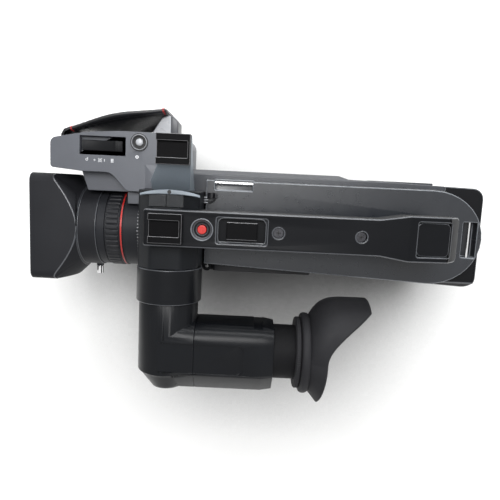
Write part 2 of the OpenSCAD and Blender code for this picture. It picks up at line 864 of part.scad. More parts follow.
module mic_grilles() {
    color("#101214") for (s = [-1, 1])
        translate([tilt_x + s * grille_l / 4, 0, 0])
            box([-grille_l / 4 + side_gap, grille_y0 + side_gap, tower_top - grille_t],
                [grille_l / 4 - side_gap, grille_y0 + grille_w - side_gap, tower_top - seat_gap]);
}

// The arm rises from the cross tube's end to the outer shoe
arm_plate_l = 28;
arm_root_drop = 18;
arm_root_z = tilt_z - arm_root_drop;
arm_t = 8;
module shoe_arm() {
    color("#8d99a6") intersection() {
        along(rounded([
            [tower_right + seat_gap, arm_root_z, 0],
            [side_shoe_y - shoe_w / 2, side_shoe_z0 - 2 * arm_t, arm_t],
            [side_shoe_y + shoe_w / 2, side_shoe_z0 - arm_t / 2, 0],
            [side_shoe_y + shoe_w / 2, side_shoe_z0, 0],
            [side_shoe_y - shoe_w / 2, side_shoe_z0, 0],
            [tower_right + seat_gap, tower_top - arm_t, 0]
        ]), side_shoe_x0 - arm_t, side_shoe_x0 + shoe_l + arm_t);
        slab([
            [tilt_x - tower_half + arm_t, tower_right],
            [tilt_x + tower_half - arm_t, tower_right],
            [side_shoe_x0 + shoe_l, side_shoe_y - shoe_w / 2],
            [side_shoe_x0 + shoe_l, side_shoe_y + shoe_w],
            [side_shoe_x0, side_shoe_y + shoe_w],
            [side_shoe_x0, side_shoe_y - shoe_w / 2]
        ], arm_root_z - over, side_shoe_z0 + over);
    }
}

// Hand grip
grip_x0 = bezel_x0 - grip_l;
grip_x1 = bezel_x0 + grip_back_l;
inner_y = 25.5;
front_y = 44.5;
grip_nose_r = 3;
grip_r = 6;
grip_shoulder = 8.5;
function grip_outline(d) = rounded(inset([
    [grip_x0, front_y, grip_nose_r],
    [grip_x0 + grip_l / 3, front_y - wall, 0],
    [bezel_x0 - grip_l * 0.36, front_y - wall, 2 * grip_r],
    [bezel_x0 - grip_l * 0.19, inner_y, grip_r],
    [bezel_x0 - seat_gap, inner_y, 0],
    [bezel_x0 - seat_gap, right_y + seat_gap, 0],
    [grip_x1, right_y + seat_gap, 0],
    [grip_x1, grip_y, corner_r],
    [bezel_x0 - grip_l * 0.28, grip_y, 0],
    [bezel_x0 - grip_l * 0.62, grip_y - grip_shoulder / 4, 0],
    [grip_x0, grip_y - grip_shoulder, grip_r]
], d));
rocker_side = 13.9;
rocker_gap = 4.6;
rocker_y = grip_y - rocker_side;
grip_pocket_z = body_top - pocket_depth;
pocket_margin = 2;
pocket_lip = 3.2;
grip_pocket_l = grip_rocker_l + 2 * pocket_margin;
grip_pocket_w = grip_rocker_w + 2 * pocket_lip;
photo_front = 5.4;
photo_x = bezel_x0 - photo_front;
photo_side = 9.3;
photo_y = grip_y - photo_side;
photo_depth = 8;
photo_ring_r = 8;
grip_rocker_x = photo_x - photo_ring_r - rocker_gap - grip_pocket_l / 2;
module grip_pocket(d, z) {
    box([grip_rocker_x - grip_pocket_l / 2 - d, rocker_y - grip_pocket_w / 2 - d, z],
        [grip_rocker_x + grip_pocket_l / 2 + d, rocker_y + grip_pocket_w / 2 + d, body_top + (d > 0 ? 0 : over)]);
}
module grip_shell() {
    color("#5f636b") difference() {
        union() {
            difference() {
                slab(grip_outline(0), grip_z, body_top);
                intersection() {
                    slab(grip_outline(wall), grip_z + wall, body_top - wall);
                    box([grip_x0, front_y + wall, grip_z], [grip_x1, grip_y, body_top]);
                }
            }
            intersection() {
                slab(grip_outline(0), grip_z, body_top + over);
                union() {
                    grip_pocket(wall, grip_pocket_z - wall);
                    rod_z(body_top - photo_depth - wall, body_top + over, photo_x, photo_y, photo_ring_r);
                }
            }
            box([bezel_x0 - wall, tower_right + seat_gap, body_top - wall],
                [front_x - seat_gap, right_y, body_top]);
        }
        grip_pocket(0, grip_pocket_z);
        rod_z(body_top - photo_depth, body_top + 2 * over, photo_x, photo_y, photo_r + side_gap);
        rod_z(body_top - over, body_top + 2 * over, photo_x, photo_y, photo_ring_r - 2 * over);
        box([grip_x0 + grip_l / 4, lens_y, grip_z - over],
            [bezel_x0, front_y - over, step_top + side_gap]);
        rod_x(grip_x1 - dial_depth, grip_x1 + over, dial_y, dial_z, dial_r + side_gap);
    }
}

step_reach = 12;
module grip_step() {
    color("#70747c") difference() {
        union() {
            slab([
                [grip_x0 + grip_l * 0.28, front_y - over - side_gap],
                [grip_x0 + grip_l * 0.35, inner_y - over],
                [bezel_x0 - seat_gap, inner_y - over],
                [bezel_x0 - seat_gap, front_y - over - side_gap]
            ], grip_z, step_top);
            box([bezel_x0 - 2 * corner_r + wall, inner_y - step_reach, grip_z + 2 * corner_r],
                [bezel_x0 - seat_gap, inner_y - seat_gap, body_top - corner_r + 2 * over]);
        }
        rod_x(hood_x0, front_x, lens_y, lens_z, barrel_r + 2 * side_gap + over);
    }
}

module grip_rocker() {
    color("#303338")
        rocker(grip_rocker_x, rocker_y, grip_pocket_z, grip_rocker_l, grip_rocker_w, body_top + 2 * over);
}

module photo_button() {
    color("silver") rod_z(body_top - photo_depth + rec_travel + side_gap, body_top + rec_travel,
        photo_x, photo_y, photo_r);
}

dial_r = 9;
dial_depth = 2.2;
dial_y = (right_y + grip_y - corner_r) / 2;
dial_z = 133;
dial_stick = 2.6;
module mode_dial() {
    color("#26282b") rod_x(grip_x1 - dial_depth + seat_gap, grip_x1 + dial_stick, dial_y, dial_z, dial_r);
}

// Hand strap, from the grip's front corner to the rear anchor
strap_z = 98;
strap_inset = 4;
strap_back = 16;
strap_side = 2.5;
strap_out = 24.5;
strap_x0 = grip_x0 + strap_inset;
strap_x1 = bezel_x0 + strap_back;
strap_y0 = grip_y + strap_side;
strap_y1 = grip_y + strap_out;
strap_bow = 2.7;
strap_end_t = 5;
strap_lean_share = 0.18;
strap_curl = 11;
function strap_curl_at(s, low) = strap_curl * pow(max(2 * s - 1, 0), 0.8) * pow(low, 1.2);
strap_rings = 12;
strap_sides = 12;
function strap_point(s) = [
    strap_x0 + (strap_x1 - strap_x0) * s,
    strap_y0 + (strap_y1 - strap_y0) * pow(s, 0.9) - strap_bow * pow(sin(180 * s), 2)
];
function strap_normal(s) = left_of(unit(strap_point(s + 0.01) - strap_point(s)));
function strap_thick(s) = strap_end_t + (strap_t - strap_end_t) * pow(sin(180 * s), 0.6);
function strap_inner(s) = strap_point(s) - strap_normal(s) * (strap_thick(s) / 2 + side_gap);
function strap_ring(s) = let (
        p = strap_point(s),
        n = strap_normal(s),
        t = strap_thick(s),
        h = strap_h * (0.62 + 0.38 * sin(180 * s) + 0.24 * pow(max(2 * s - 1, 0), 2)),
        lean = strap_lean_share * pow(sin(180 * s), 2)
    ) [for (j = [0:strap_sides - 1]) let (
            a = 360 * j / strap_sides,
            u = t / 2 * sign(cos(a)) * pow(abs(cos(a)), 0.6),
            v = h / 2 * sign(sin(a)) * pow(abs(sin(a)), 0.6),
            low = max(-2 * v / h - 0.67, 0) / 0.33
        ) [p.x + n.x * u, p.y + n.y * u + lean * v - strap_curl_at(s, low), strap_z + v]];
module hand_strap() {
    color("#151515") loft([for (i = [0:strap_rings]) strap_ring(0.02 + 0.96 * i / strap_rings)]);
}

anchor_h = 24;
anchor_t = 5;
anchor_l = 20;
anchor_tail = 7;
module strap_front_anchor() {
    color("#1b1b1d") slab([
        [grip_x0 - anchor_t / 2, grip_y - 2 * corner_r],
        [grip_x0 - seat_gap, grip_y - 2 * corner_r],
        [grip_x0 - seat_gap, grip_y - grip_shoulder + side_gap],
        strap_inner(0.08),
        strap_inner(0.03),
        [grip_x0 - anchor_t / 2, grip_y - anchor_t]
    ], strap_z - anchor_h / 2, strap_z + anchor_h / 2);
}
module strap_rear_anchor() {
    color("#a9adb2") slab([
        [strap_x1 - anchor_l, grip_y + seat_gap],
        strap_inner(0.91),
        strap_inner(0.975),
        [strap_x1 + strap_end_t / 2, strap_y1 - anchor_t],
        [strap_x1 + anchor_tail, strap_y1 - 2 * anchor_t],
        [strap_x1 + anchor_tail, grip_y + seat_gap]
    ], strap_z - anchor_h / 2, strap_z + anchor_h / 2);
}

// Lens
rod_r = 1.5;
end_wall = 4;
group_clear = 1;
rod_reach = tube_bore - end_wall;
group_r = tube_bore - group_clear;
glass_r = 20;
group_t = 6;
stop_depth = 9;
stop_x = tube_x0 + filter_depth + stop_depth;
zoom_x = stop_x + 2 * end_wall;
focus_x = tube_x1 - end_wall - group_t - focus_travel - rod_r;
module rods(r) {
    for (s = [-1, 1])
        rod_x(stop_x + end_wall / 2, tube_x1 - end_wall / 2, lens_y, lens_z + s * rod_reach, r);
}
module lens_tube() {
    color("#26282c") difference() {
        rod_x(tube_x0, tube_x1, lens_y, lens_z, tube_r);
        rod_x(tube_x0 - over, tube_x0 + filter_depth, lens_y, lens_z, filter_r);
        rod_x(tube_x0 - over, stop_x, lens_y, lens_z, filter_r - over);
        rod_x(stop_x + end_wall, tube_x1 - end_wall, lens_y, lens_z, tube_bore);
        rod_x(tube_x0, tube_x1 + over, lens_y, lens_z, glass_r);
        rods(rod_r + run_gap);
    }
}
module guide_rods() { color("silver") rods(rod_r); }

// A glass disc with domed faces
glass_dome = 2;
module glass(x0, r, t) {
    dome_steps = 6;
    translate([x0, lens_y, lens_z]) rotate([0, 90, 0]) rotate_extrude() polygon(concat(
        [for (i = [0:dome_steps]) let (u = i / dome_steps) [r * u, glass_dome * u * u]],
        [[r, t], [0, t]]
    ));
}
module fixed_glass() {
    color("#8fb4c8") {
        glass(tube_x0 + filter_depth + seat_gap, filter_r - over - seat_gap, group_t);
        glass(tube_x1 - end_wall + seat_gap, glass_r - seat_gap, end_wall - seat_gap);
    }
}
module carrier(x0) {
    difference() {
        rod_x(x0, x0 + group_t, lens_y, lens_z, group_r);
        rod_x(x0 - over, x0 + group_t + over, lens_y, lens_z, glass_r);
        rods(rod_r + run_gap);
    }
}
module zoom_carrier() { color("#222325") carrier(zoom_x); }
module zoom_glass() { color("#8fb4c8") glass(zoom_x + over / 2, glass_r - seat_gap, group_t - over); }
module focus_carrier() {
    color("#222325") union() {
        carrier(focus_x);
        ring_x(focus_x + over, focus_x + group_t - over, lens_y, lens_z, glass_r + over, glass_r / 2);
    }
}

module lens_barrel() {
    color("#3a3d43") ring_x(barrel_x0, front_x - seat_gap, lens_y, lens_z, barrel_r, tube_r + run_gap);
}
module red_ring() {
    color("#c8322b")
        ring_x(red_x0, barrel_x0 - seat_gap, lens_y, lens_z, barrel_r + side_gap, tube_r + run_gap);
}
module filter_ring() {
    color("#303338") ring_x(filter_x0, filter_x1, lens_y, lens_z, barrel_r, tube_r + run_gap);
}
groove_share = 0.45;
groove_depth = 0.8;
module focus_ring() {
    pitch = 360 / focus_ribs;
    groove_w = 2 * barrel_r * sin(pitch / 2) * groove_share;
    color("#1e2023") difference() {
        ring_x(focus_x0, focus_x1, lens_y, lens_z, barrel_r + groove_depth, tube_r + run_gap);
        for (i = [0:focus_ribs - 1]) translate([0, lens_y, lens_z]) rotate([i * pitch, 0, 0])
            box([focus_x0 + over, -groove_w / 2, barrel_r], [focus_x1 - over, groove_w / 2, barrel_r + 2 * over]);
    }
}

// Lens hood: a square mouth that a cone draws in to a round neck
mouth_r = norm([hood_half_w, hood_half_h]);
hood_r = 8;
hood_step = 2.5;
function hood_outline(d) = rounded(inset([
    [lens_y - hood_half_w, lens_z - hood_half_h, hood_r],
    [lens_y + hood_half_w, lens_z - hood_half_h, hood_r],
    [lens_y + hood_half_w, lens_z + hood_half_h, hood_r],
    [lens_y - hood_half_w, lens_z + hood_half_h, hood_r]
], d));
module hood_shape(d) {
    intersection() {
        along(hood_outline(d), hood_x0 - (d > 0 ? over : 0), neck_x0 + over);
        union() {
            rod_x(neck_x0 - hood_cone_l, neck_x0, lens_y, lens_z, mouth_r - d, barrel_r + hood_step - d);
            rod_x(hood_x0 - over, neck_x0 - hood_cone_l, lens_y, lens_z, mouth_r + over);
        }
    }
}
lug_w = 6;
lug_l = 4;
screw_x = (neck_x0 + neck_x1 + lug_l) / 2;
module lens_hood() {
    color("#34363a") difference() {
        union() {
            hood_shape(0);
            rod_x(neck_x0, neck_x1, lens_y, lens_z, barrel_r + over);
            box([screw_x - lug_w / 2, lens_y - barrel_r - lug_l, lens_z - lug_w / 2],
                [screw_x + lug_w / 2, lens_y - tube_r - over, lens_z + lug_w / 2]);
        }
        hood_shape(hood_wall);
        rod_x(neck_x0 - over, neck_x1 + over, lens_y, lens_z, tube_r + seat_gap);
        rod_y(lens_y - 2 * barrel_r, lens_y - tube_r + over, screw_x, lens_z, hood_screw_r + run_gap);
    }
}
hood_screw_r = 1.5;
hood_head_r = 3.2;
hood_head_l = 7;
module hood_screw() {
    y = lens_y - barrel_r - lug_l - side_gap;
    color("silver") union() {
        rod_y(y - hood_head_l, y, screw_x, lens_z, hood_head_r);
        rod_y(y - over, lens_y - tube_r - side_gap, screw_x, lens_z, hood_screw_r);
    }
}

// Sensor and boards
sensor_half = 17;
board_t = 1.6;
sensor_t = 4;
module sensor_unit() {
    color("darkgreen") union() {
        box([tube_x1 + seat_gap, lens_y - sensor_half, lens_z - sensor_half],
            [tube_x1 + seat_gap + board_t, lens_y + sensor_half, lens_z + sensor_half]);
        box([tube_x1 + board_t, lens_y - sensor_half / 2, lens_z - sensor_half / 2],
            [tube_x1 + board_t + sensor_t, lens_y + sensor_half / 2, lens_z + sensor_half / 2]);
    }
}
chip = 16;
module main_board() {
    y = board_y - board_t - seat_gap;
    color("darkgreen") union() {
        box([board_x0 + chip, y, board_z0 + seat_gap],
            [board_x0 + board_l - chip, y + board_t, board_top - chassis_t]);
        for (i = [1:4])
            box([board_x0 + 2 * i * chip, y - chassis_t, board_z0 + chip],
                [board_x0 + (2 * i + 1) * chip, y + seat_gap, board_z0 + 2 * chip]);
    }
}

// Terminal panel behind the door
terminal_r = 3;
terminal_t = 8;
module terminal_panel() {
    color("#1a1b1d") difference() {
        box([door_x0 + door_lip, door_y - terminal_t, door_z0 + door_lip],
            [door_x1 - door_lip, door_y - 2 * seat_gap, door_z0 + door_h - door_lip]);
        for (i = [1:4]) rod_y(door_y - terminal_t + wall, door_y + over,
            (door_x0 + door_x1) / 2, door_z0 + door_h * i / 5, terminal_r);
    }
}
module terminal_door() {
    color("#3f444c") union() {
        box([door_x0, door_y + side_gap, door_z0], [door_x1, door_y + side_gap + door_t, door_z0 + door_h]);
        rod_x(door_x0, door_x1, door_y + side_gap + door_pin_r, door_z0, door_pin_r);
    }
}

// Screen panel, closed against the left side, with its glass facing the body
panel_x0 = hinge_x - hinge_r;
panel_y1 = recess_y - side_gap;
panel_y0 = panel_y1 - screen_t;
glass_t = 1.5;
glass_inset = 7;
module screen_panel() {
    color("#24262a") difference() {
        union() {
            across(rect(hinge_x + hinge_r + over, screen_z - screen_h / 2, panel_x0 + screen_l + hinge_r,
                screen_z + screen_h / 2, wall), panel_y0, panel_y1);
            rod_z(ear_z0 + ear_h + side_gap, ear_z1 - ear_h - side_gap, hinge_x, hinge_y, hinge_r);
            box([hinge_x, hinge_y - hinge_r, ear_z0 + ear_h + side_gap],
                [hinge_x + hinge_r + 2 * over, hinge_y + hinge_r, ear_z1 - ear_h - side_gap]);
        }
        rod_z(ear_z0, ear_z1, hinge_x, hinge_y, hinge_pin_r + run_gap);
        box([hinge_x + hinge_r + glass_inset, panel_y1 - glass_t, screen_z - screen_h / 2 + glass_inset],
            [panel_x0 + screen_l + hinge_r - glass_inset, panel_y1 + over, screen_z + screen_h / 2 - glass_inset]);
    }
}
module screen_glass() {
    color("#0b0d12") box([hinge_x + hinge_r + glass_inset + seat_gap, panel_y1 - glass_t + seat_gap,
            screen_z - screen_h / 2 + glass_inset + seat_gap],
        [panel_x0 + screen_l + hinge_r - glass_inset - seat_gap, panel_y1 - seat_gap,
            screen_z + screen_h / 2 - glass_inset - seat_gap]);
}
module screen_hinge_pin() { color("silver") rod_z(ear_z0, ear_z1, hinge_x, hinge_y, hinge_pin_r); }

// Viewfinder: collar, tube and elbow, arm, eye tube, rings and eyecup
collar_y1 = tower_left - seat_gap;
collar_y0 = collar_y1 - collar_l;
tube_y1 = collar_y0 - side_gap;
arm_y1 = -83;
arm_y0 = arm_y1 - arm_w;
arm_x1 = tilt_x + arm_l;
elbow_x = tilt_x + evf_r;
eye_side = 25.5;
eye_y = arm_y1 - eye_side;
evf_wall = 2.5;
arm_r = 10;
arm_shoulder_r = 14;
arm_taper = 1.8;
elbow_tip_l = 16;
elbow_tip_r = 13;
notch_l = 7.5;
notch_depth = 1.6;
panel_depth = 0.8;
panel_reach = 9;
panel_w = 25.5;
panel_l = 76.5;
module evf_collar() {
    color("#1b1d21") difference() {
        rod_y(collar_y0, collar_y1, tilt_x, tilt_z, collar_r);
        rod_y(collar_y0 - over, collar_y1 + over, tilt_x, tilt_z, spigot_r + run_gap);
    }
}
function arm_section(d) = rounded(inset([
    [arm_y1, tilt_z - arm_h / 2, arm_r],
    [arm_y1, tilt_z + arm_h / 2, arm_shoulder_r],
    [arm_y0 + 0.31 * arm_w, tilt_z + arm_h / 2, arm_r / 2],
    [arm_y0, tilt_z + arm_h * 0.15, arm_r / 2],
    [arm_y0, tilt_z - arm_h * 0.2, arm_r],
    [arm_y0 + 0.3 * arm_w, tilt_z - arm_h / 2, arm_r]
], d));
module arm_volume(d) {
    union() {
        along(arm_section(d), tilt_x, arm_x1 - arm_r);
        hull() {
            along(arm_section(d), arm_x1 - arm_r - over, arm_x1 - arm_r);
            along(arm_section(d + arm_taper), arm_x1 - d - over, arm_x1 - d);
        }
    }
}
module arm_panel() {
    slab(rect(tilt_x - panel_reach, eye_y - 0.58 * panel_w, tilt_x - panel_reach + panel_l, eye_y + 0.42 * panel_w, arm_r / 2),
        tilt_z + arm_h / 2 - panel_depth, tilt_z + arm_h);
}
module evf_elbow() {
    color("#1d2024") union() {
        difference() {
            union() {
                intersection() {
                    arm_volume(0);
                    box([tilt_x, arm_y0 - over, 0], [elbow_x, arm_y1 + over, deck_top + tilt_z]);
                }
                rod_y(arm_y0 + elbow_tip_l, tube_y1, tilt_x, tilt_z, evf_r);
                translate([tilt_x, arm_y0 + elbow_tip_l + over, tilt_z]) rotate([90, 0, 0])
                    cylinder(h = elbow_tip_l + over, r1 = evf_r, r2 = elbow_tip_r);
                rod_y(tube_y1 - over, collar_y1 - 2 * over, tilt_x, tilt_z, spigot_r);
            }
            intersection() {
                arm_volume(evf_wall);
                box([tilt_x, arm_y0, 0], [elbow_x + over, arm_y1, deck_top + tilt_z]);
            }
            rod_y(arm_y0 + elbow_tip_l, collar_y1 + over, tilt_x, tilt_z, spigot_r - evf_wall);
            arm_panel();
        }
    }
}
module evf_arm() {
    color("#1d2024") difference() {
        intersection() {
            arm_volume(0);
            box([elbow_x + seat_gap, arm_y0 - over, 0], [arm_x1 + over, arm_y1 + over, deck_top + tilt_z]);
        }
        intersection() {
            arm_volume(evf_wall);
            box([elbow_x - over, arm_y0, 0], [arm_x1 - evf_wall, arm_y1, deck_top + tilt_z]);
        }
        rod_x(arm_x1 - arm_r, arm_x1 + over, eye_y, tilt_z, eye_r + seat_gap);
        arm_panel();
        box([arm_x1 - arm_r - notch_l, arm_y1 - notch_depth, tilt_z - arm_h], [arm_x1 - arm_r, arm_y1 + over, tilt_z + arm_h]);
    }
}
display_half = 11;
display_board_half = 16;
module evf_display() {
    x = elbow_x + arm_r;
    color("#0b0d12") union() {
        box([x, eye_y - display_board_half, tilt_z - display_board_half],
            [x + evf_wall, eye_y + display_board_half, tilt_z + display_board_half]);
        box([x, eye_y, tilt_z - display_half / 2],
            [x + evf_wall, arm_y1 - evf_wall - side_gap, tilt_z + display_half / 2]);
        box([x, eye_y - display_half, tilt_z - display_half],
            [x + 2 * evf_wall, eye_y + display_half, tilt_z + display_half]);
    }
}
eye_x0 = arm_x1 - arm_r + evf_wall;
eye_x1 = arm_x1 + eye_l;
eye_bore = eye_r - evf_wall;
module eye_tube() {
    color("#17191c") union() {
        ring_x(eye_x0, eye_x1, eye_y, tilt_z, eye_r, eye_bore);
        ring_x(eye_x0, eye_x0 + evf_wall, eye_y, tilt_z, eye_r, eye_bore - evf_wall);
    }
}
ring_gap_x = 18.6;
dioptre_l = 4.4;
dioptre_x0 = arm_x1 + ring_gap_x;
module dioptre_ring() {
    color("#131415")
        ring_x(dioptre_x0, dioptre_x0 + dioptre_l, eye_y, tilt_z, dioptre_r, eye_r + run_gap);
}
ocular_l = 8;
ocular_travel = 3;
module ocular_cell() {
    x = dioptre_x0 - ocular_l;
    color("#8fb4c8") rod_x(x, x + ocular_l, eye_y, tilt_z, eye_bore - run_gap);
}

// The eyecup's rim reaches far back on the side towards the body
cup_x0 = dioptre_x0 + dioptre_l + side_gap;
cup_base_l = 7.4;
cup_wall = 4;
cup_rim = 4;
cup_base_r = dioptre_r + cup_rim;
cup_depth = 8.5;
cup_top_r = 35;
cup_wing_r = 51;
cup_low_r = 42.8;
cup_side_l = 4.6;
cup_tip_share = 0.9;
cup_t = 2;
cup_sides = 32;
cup_levels = 8;
function wing(a) = max(cos(a), 0);
function rim_r(a) = cup_top_r
    + (cos(a) > 0 ? cup_wing_r - cup_top_r : cup_low_r - cup_top_r) * pow(abs(cos(a)), 1.5);
function rim_x(a) = cup_x0 + cup_base_l + cup_depth + cup_side_l * (1 - pow(min(cos(a), 0), 2))
    + (wing_l - cup_side_l) * pow(min(wing(a) / cup_tip_share, 1), 2.4);
function cup_ring(s, d) = [for (j = [0:cup_sides - 1]) let (
        a = 360 * j / cup_sides,
        root = cup_base_r - cup_wall - d,
        r = root + (rim_r(a) - d - root) * (1 - pow(1 - s, 1 + 5 * wing(a))),
        x = cup_x0 + cup_base_l - over + (rim_x(a) - cup_x0 - cup_base_l + over) * s + d * 0.7 * (1 - 0.7 * s)
    ) [x, eye_y + r * cos(a), tilt_z + r * sin(a)]];
module eyecup() {
    color("#26272a") union() {
        ring_x(cup_x0, cup_x0 + cup_base_l, eye_y, tilt_z, cup_base_r, eye_r + side_gap);
        loft(concat(
            [for (i = [0:cup_levels]) cup_ring(i / cup_levels, 0)],
            [for (i = [cup_levels:-1:0]) cup_ring(i / cup_levels, cup_t)]
        ), closed = true);
    }
}

base_plate();
base_screws();
chassis();
left_shell();
right_shell();
rear_block();
front_bezel();
top_deck();
shoulder_pad();
rear_feet();
strap_bars();
cable_clip();
handle_lower();
handle_upper();
handle_cover();
handle_screws();
handle_shoe();
cross_tube();
mic_grilles();
shoe_arm();
side_shoe();
evf_collar();
grip_shell();
grip_step();
strap_front_anchor();
strap_rear_anchor();
hand_strap();
lens_tube();
lens_barrel();
red_ring();
filter_ring();
fixed_glass();
guide_rods();
sensor_unit();
main_board();
terminal_panel();
screen_hinge_pin();
lens_hood();
focus_ring();
hood_screw();
zoom_carrier();
zoom_glass();
focus_carrier();
evf_elbow();
evf_arm();
evf_display();
eye_tube();
dioptre_ring();
ocular_cell();
eyecup();
screen_panel();
screen_glass();
battery();
battery_release();
terminal_door();
grip_rocker();
photo_button();
mode_dial();
handle_rocker();
record_button();
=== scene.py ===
# Shoulder camcorder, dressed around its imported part. Metres, +X to the rear, +Y the grip's side, +Z up.
import json
import math
import bmesh
import bpy
import numpy as np
from mathutils import Matrix, Vector


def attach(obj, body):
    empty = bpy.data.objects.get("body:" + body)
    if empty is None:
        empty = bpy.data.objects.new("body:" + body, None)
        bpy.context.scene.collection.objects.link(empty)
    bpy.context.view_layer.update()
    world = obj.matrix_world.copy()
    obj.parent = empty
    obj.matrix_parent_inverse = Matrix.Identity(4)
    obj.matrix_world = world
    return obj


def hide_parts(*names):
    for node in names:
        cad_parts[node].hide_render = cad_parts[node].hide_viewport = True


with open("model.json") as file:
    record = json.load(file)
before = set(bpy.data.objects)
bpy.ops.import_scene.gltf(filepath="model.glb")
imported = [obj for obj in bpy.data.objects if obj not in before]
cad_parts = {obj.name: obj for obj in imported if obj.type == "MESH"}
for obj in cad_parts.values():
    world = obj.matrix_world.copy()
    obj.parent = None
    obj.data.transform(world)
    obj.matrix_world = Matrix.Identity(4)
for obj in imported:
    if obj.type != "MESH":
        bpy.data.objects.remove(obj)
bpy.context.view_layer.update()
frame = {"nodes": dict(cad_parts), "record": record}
nodes = frame["nodes"]
scene = bpy.context.scene
mm = 0.001
# metres within which points count as one, on the made pieces and on the CAD meshes, and as a sliver
weld, weldCad, sliver = 1e-6, 2e-6, 1e-7
bodyOf = {node: body for body, names in frame["record"]["behaviour"]["bodies"].items() for node in names}
slotOf = {row["node"]: row["material_slot"] for row in frame["record"]["subparts"]}
print("frame loaded with", len(nodes), "nodes")


# Surfaces from arrays

def gridFaces(rows, cols, closeRows=False, closeCols=False):
    # quads between neighbouring points of a rows x cols grid, wrapping round where it is closed
    i = np.arange(rows if closeRows else rows - 1)[:, None]
    j = np.arange(cols if closeCols else cols - 1)[None, :]
    a = i * cols + j
    b = ((i + 1) % rows) * cols + j
    c = ((i + 1) % rows) * cols + (j + 1) % cols
    d = i * cols + (j + 1) % cols
    return np.stack([a, b, c, d], -1).reshape(-1, 4)


def makePiece(name, points, faces, material, body, slotName, replaced=(), smooth=38):
    # points in millimetres; doubles are merged and the faces turned outwards before it rides on its body
    mesh = bpy.data.meshes.new(name)
    quads = faces.tolist() if isinstance(faces, np.ndarray) else faces
    mesh.from_pydata((np.asarray(points, float).reshape(-1, 3) * mm).tolist(), [], quads)
    bm = bmesh.new()
    bm.from_mesh(mesh)
    bmesh.ops.remove_doubles(bm, verts=bm.verts, dist=weld)
    bmesh.ops.dissolve_degenerate(bm, edges=bm.edges, dist=sliver)
    bmesh.ops.recalc_face_normals(bm, faces=bm.faces)
    bm.to_mesh(mesh)
    bm.free()
    mesh.shade_smooth()
    if smooth < 180:
        mesh.set_sharp_from_angle(angle=math.radians(smooth))
    mesh.materials.append(material)
    obj = bpy.data.objects.new(name, mesh)
    scene.collection.objects.link(obj)
    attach(obj, body)
    if replaced:
        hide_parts(*replaced)
    return obj


def capFan(row, centre):
    # triangles from one row of a grid to an added centre point
    n = len(row)
    return [[row[k], row[(k + 1) % n], centre] for k in range(n)]


def endFans(rows, cols):
    # fans over the first and the last row of a grid, whose centre points are the two added after it
    first, last = list(range(cols))[::-1], list(range((rows - 1) * cols, rows * cols))
    return capFan(first, rows * cols) + capFan(last, rows * cols + 1)


def spun(profile, sides, centre, axis="x", bump=None):
    # a closed profile of (place along the axis, radius) turned about the axis: u = r cos a, v = r sin a;
    # bump(angle, profile row) adds to the radius
    p = np.asarray(profile, float)
    angle = np.linspace(0, 2 * np.pi, sides, endpoint=False)[:, None]
    r = p[None, :, 1] + (bump(angle, p[None, :, :]) if bump else 0.0 * angle)
    along = p[None, :, 0] + 0 * angle
    u, v = r * np.cos(angle), r * np.sin(angle)
    order = {"x": (along, u, v), "y": (v, along, u), "z": (u, v, along)}[axis]
    pts = np.stack(order, -1) + np.asarray(centre, float)
    return pts.reshape(-1, 3), gridFaces(sides, len(p), True, True)


def roundedLoop(w, h, r, steps=6):
    # closed outline of a w x h rectangle centred on 0 with corner arcs of radius r
    corners = [(w / 2 - r, h / 2 - r, 0), (-w / 2 + r, h / 2 - r, 90),
               (-w / 2 + r, -h / 2 + r, 180), (w / 2 - r, -h / 2 + r, 270)]
    a = np.radians(np.linspace(0, 90, steps + 1))
    return np.concatenate([
        np.stack([cx + r * np.cos(a + math.radians(a0)), cy + r * np.sin(a + math.radians(a0))], -1)
        for cx, cy, a0 in corners])


def stackedLoops(loops, heights, centre, axis="z"):
    # outlines at rising heights joined by quads, with a fan at each end
    m = len(loops[0])
    pts = np.concatenate([np.column_stack([l, np.full(m, h)]) for l, h in zip(loops, heights)])
    faces = gridFaces(len(loops), m, False, True).tolist()
    ends = [[*loops[0].mean(0), heights[0]], [*loops[-1].mean(0), heights[-1]]]
    pts = np.vstack([pts, ends])
    faces += endFans(len(loops), m)
    if axis == "y":
        pts = pts[:, [0, 2, 1]]
    if axis == "x":
        pts = pts[:, [2, 0, 1]]
    return pts + np.asarray(centre, float), faces


def tubeAlong(path, radius, sides=10, closed=False):
    # a round tube carried along a path of points p: p + radius (cos a side + sin a over), with side and over
    # square to the path
    p = np.asarray(path, float)
    step = np.roll(p, -1, 0) - np.roll(p, 1, 0) if closed else np.gradient(p, axis=0)
    t = step / np.linalg.norm(step, axis=1, keepdims=True)
    up = np.tile([0.0, 0.0, 1.0], (len(p), 1))
    up[np.abs(t[:, 2]) > 0.9] = [0.0, 1.0, 0.0]
    side = np.cross(t, up)
    side /= np.linalg.norm(side, axis=1, keepdims=True)
    over = np.cross(side, t)
    a = np.linspace(0, 2 * np.pi, sides, endpoint=False)
    ring = np.cos(a)[None, :, None] * side[:, None, :] + np.sin(a)[None, :, None] * over[:, None, :]
    pts = (p[:, None, :] + radius * ring).reshape(-1, 3)
    faces = gridFaces(len(p), sides, closed, True).tolist()
    if not closed:
        pts = np.vstack([pts, p[0], p[-1]])
        faces += endFans(len(p), sides)
    return pts, faces


def insetLoop(loop, d):
    # each point of a counterclockwise outline moved inwards by d, along the mean normal of its two edges
    def outward(e):
        return np.stack([e[:, 1], -e[:, 0]], -1) / np.maximum(np.linalg.norm(e, axis=1, keepdims=True), 1e-9)
    mean = outward(loop - np.roll(loop, 1, 0)) + outward(np.roll(loop, -1, 0) - loop)
    return loop - d * mean / np.maximum(np.linalg.norm(mean, axis=1, keepdims=True), 1e-9)


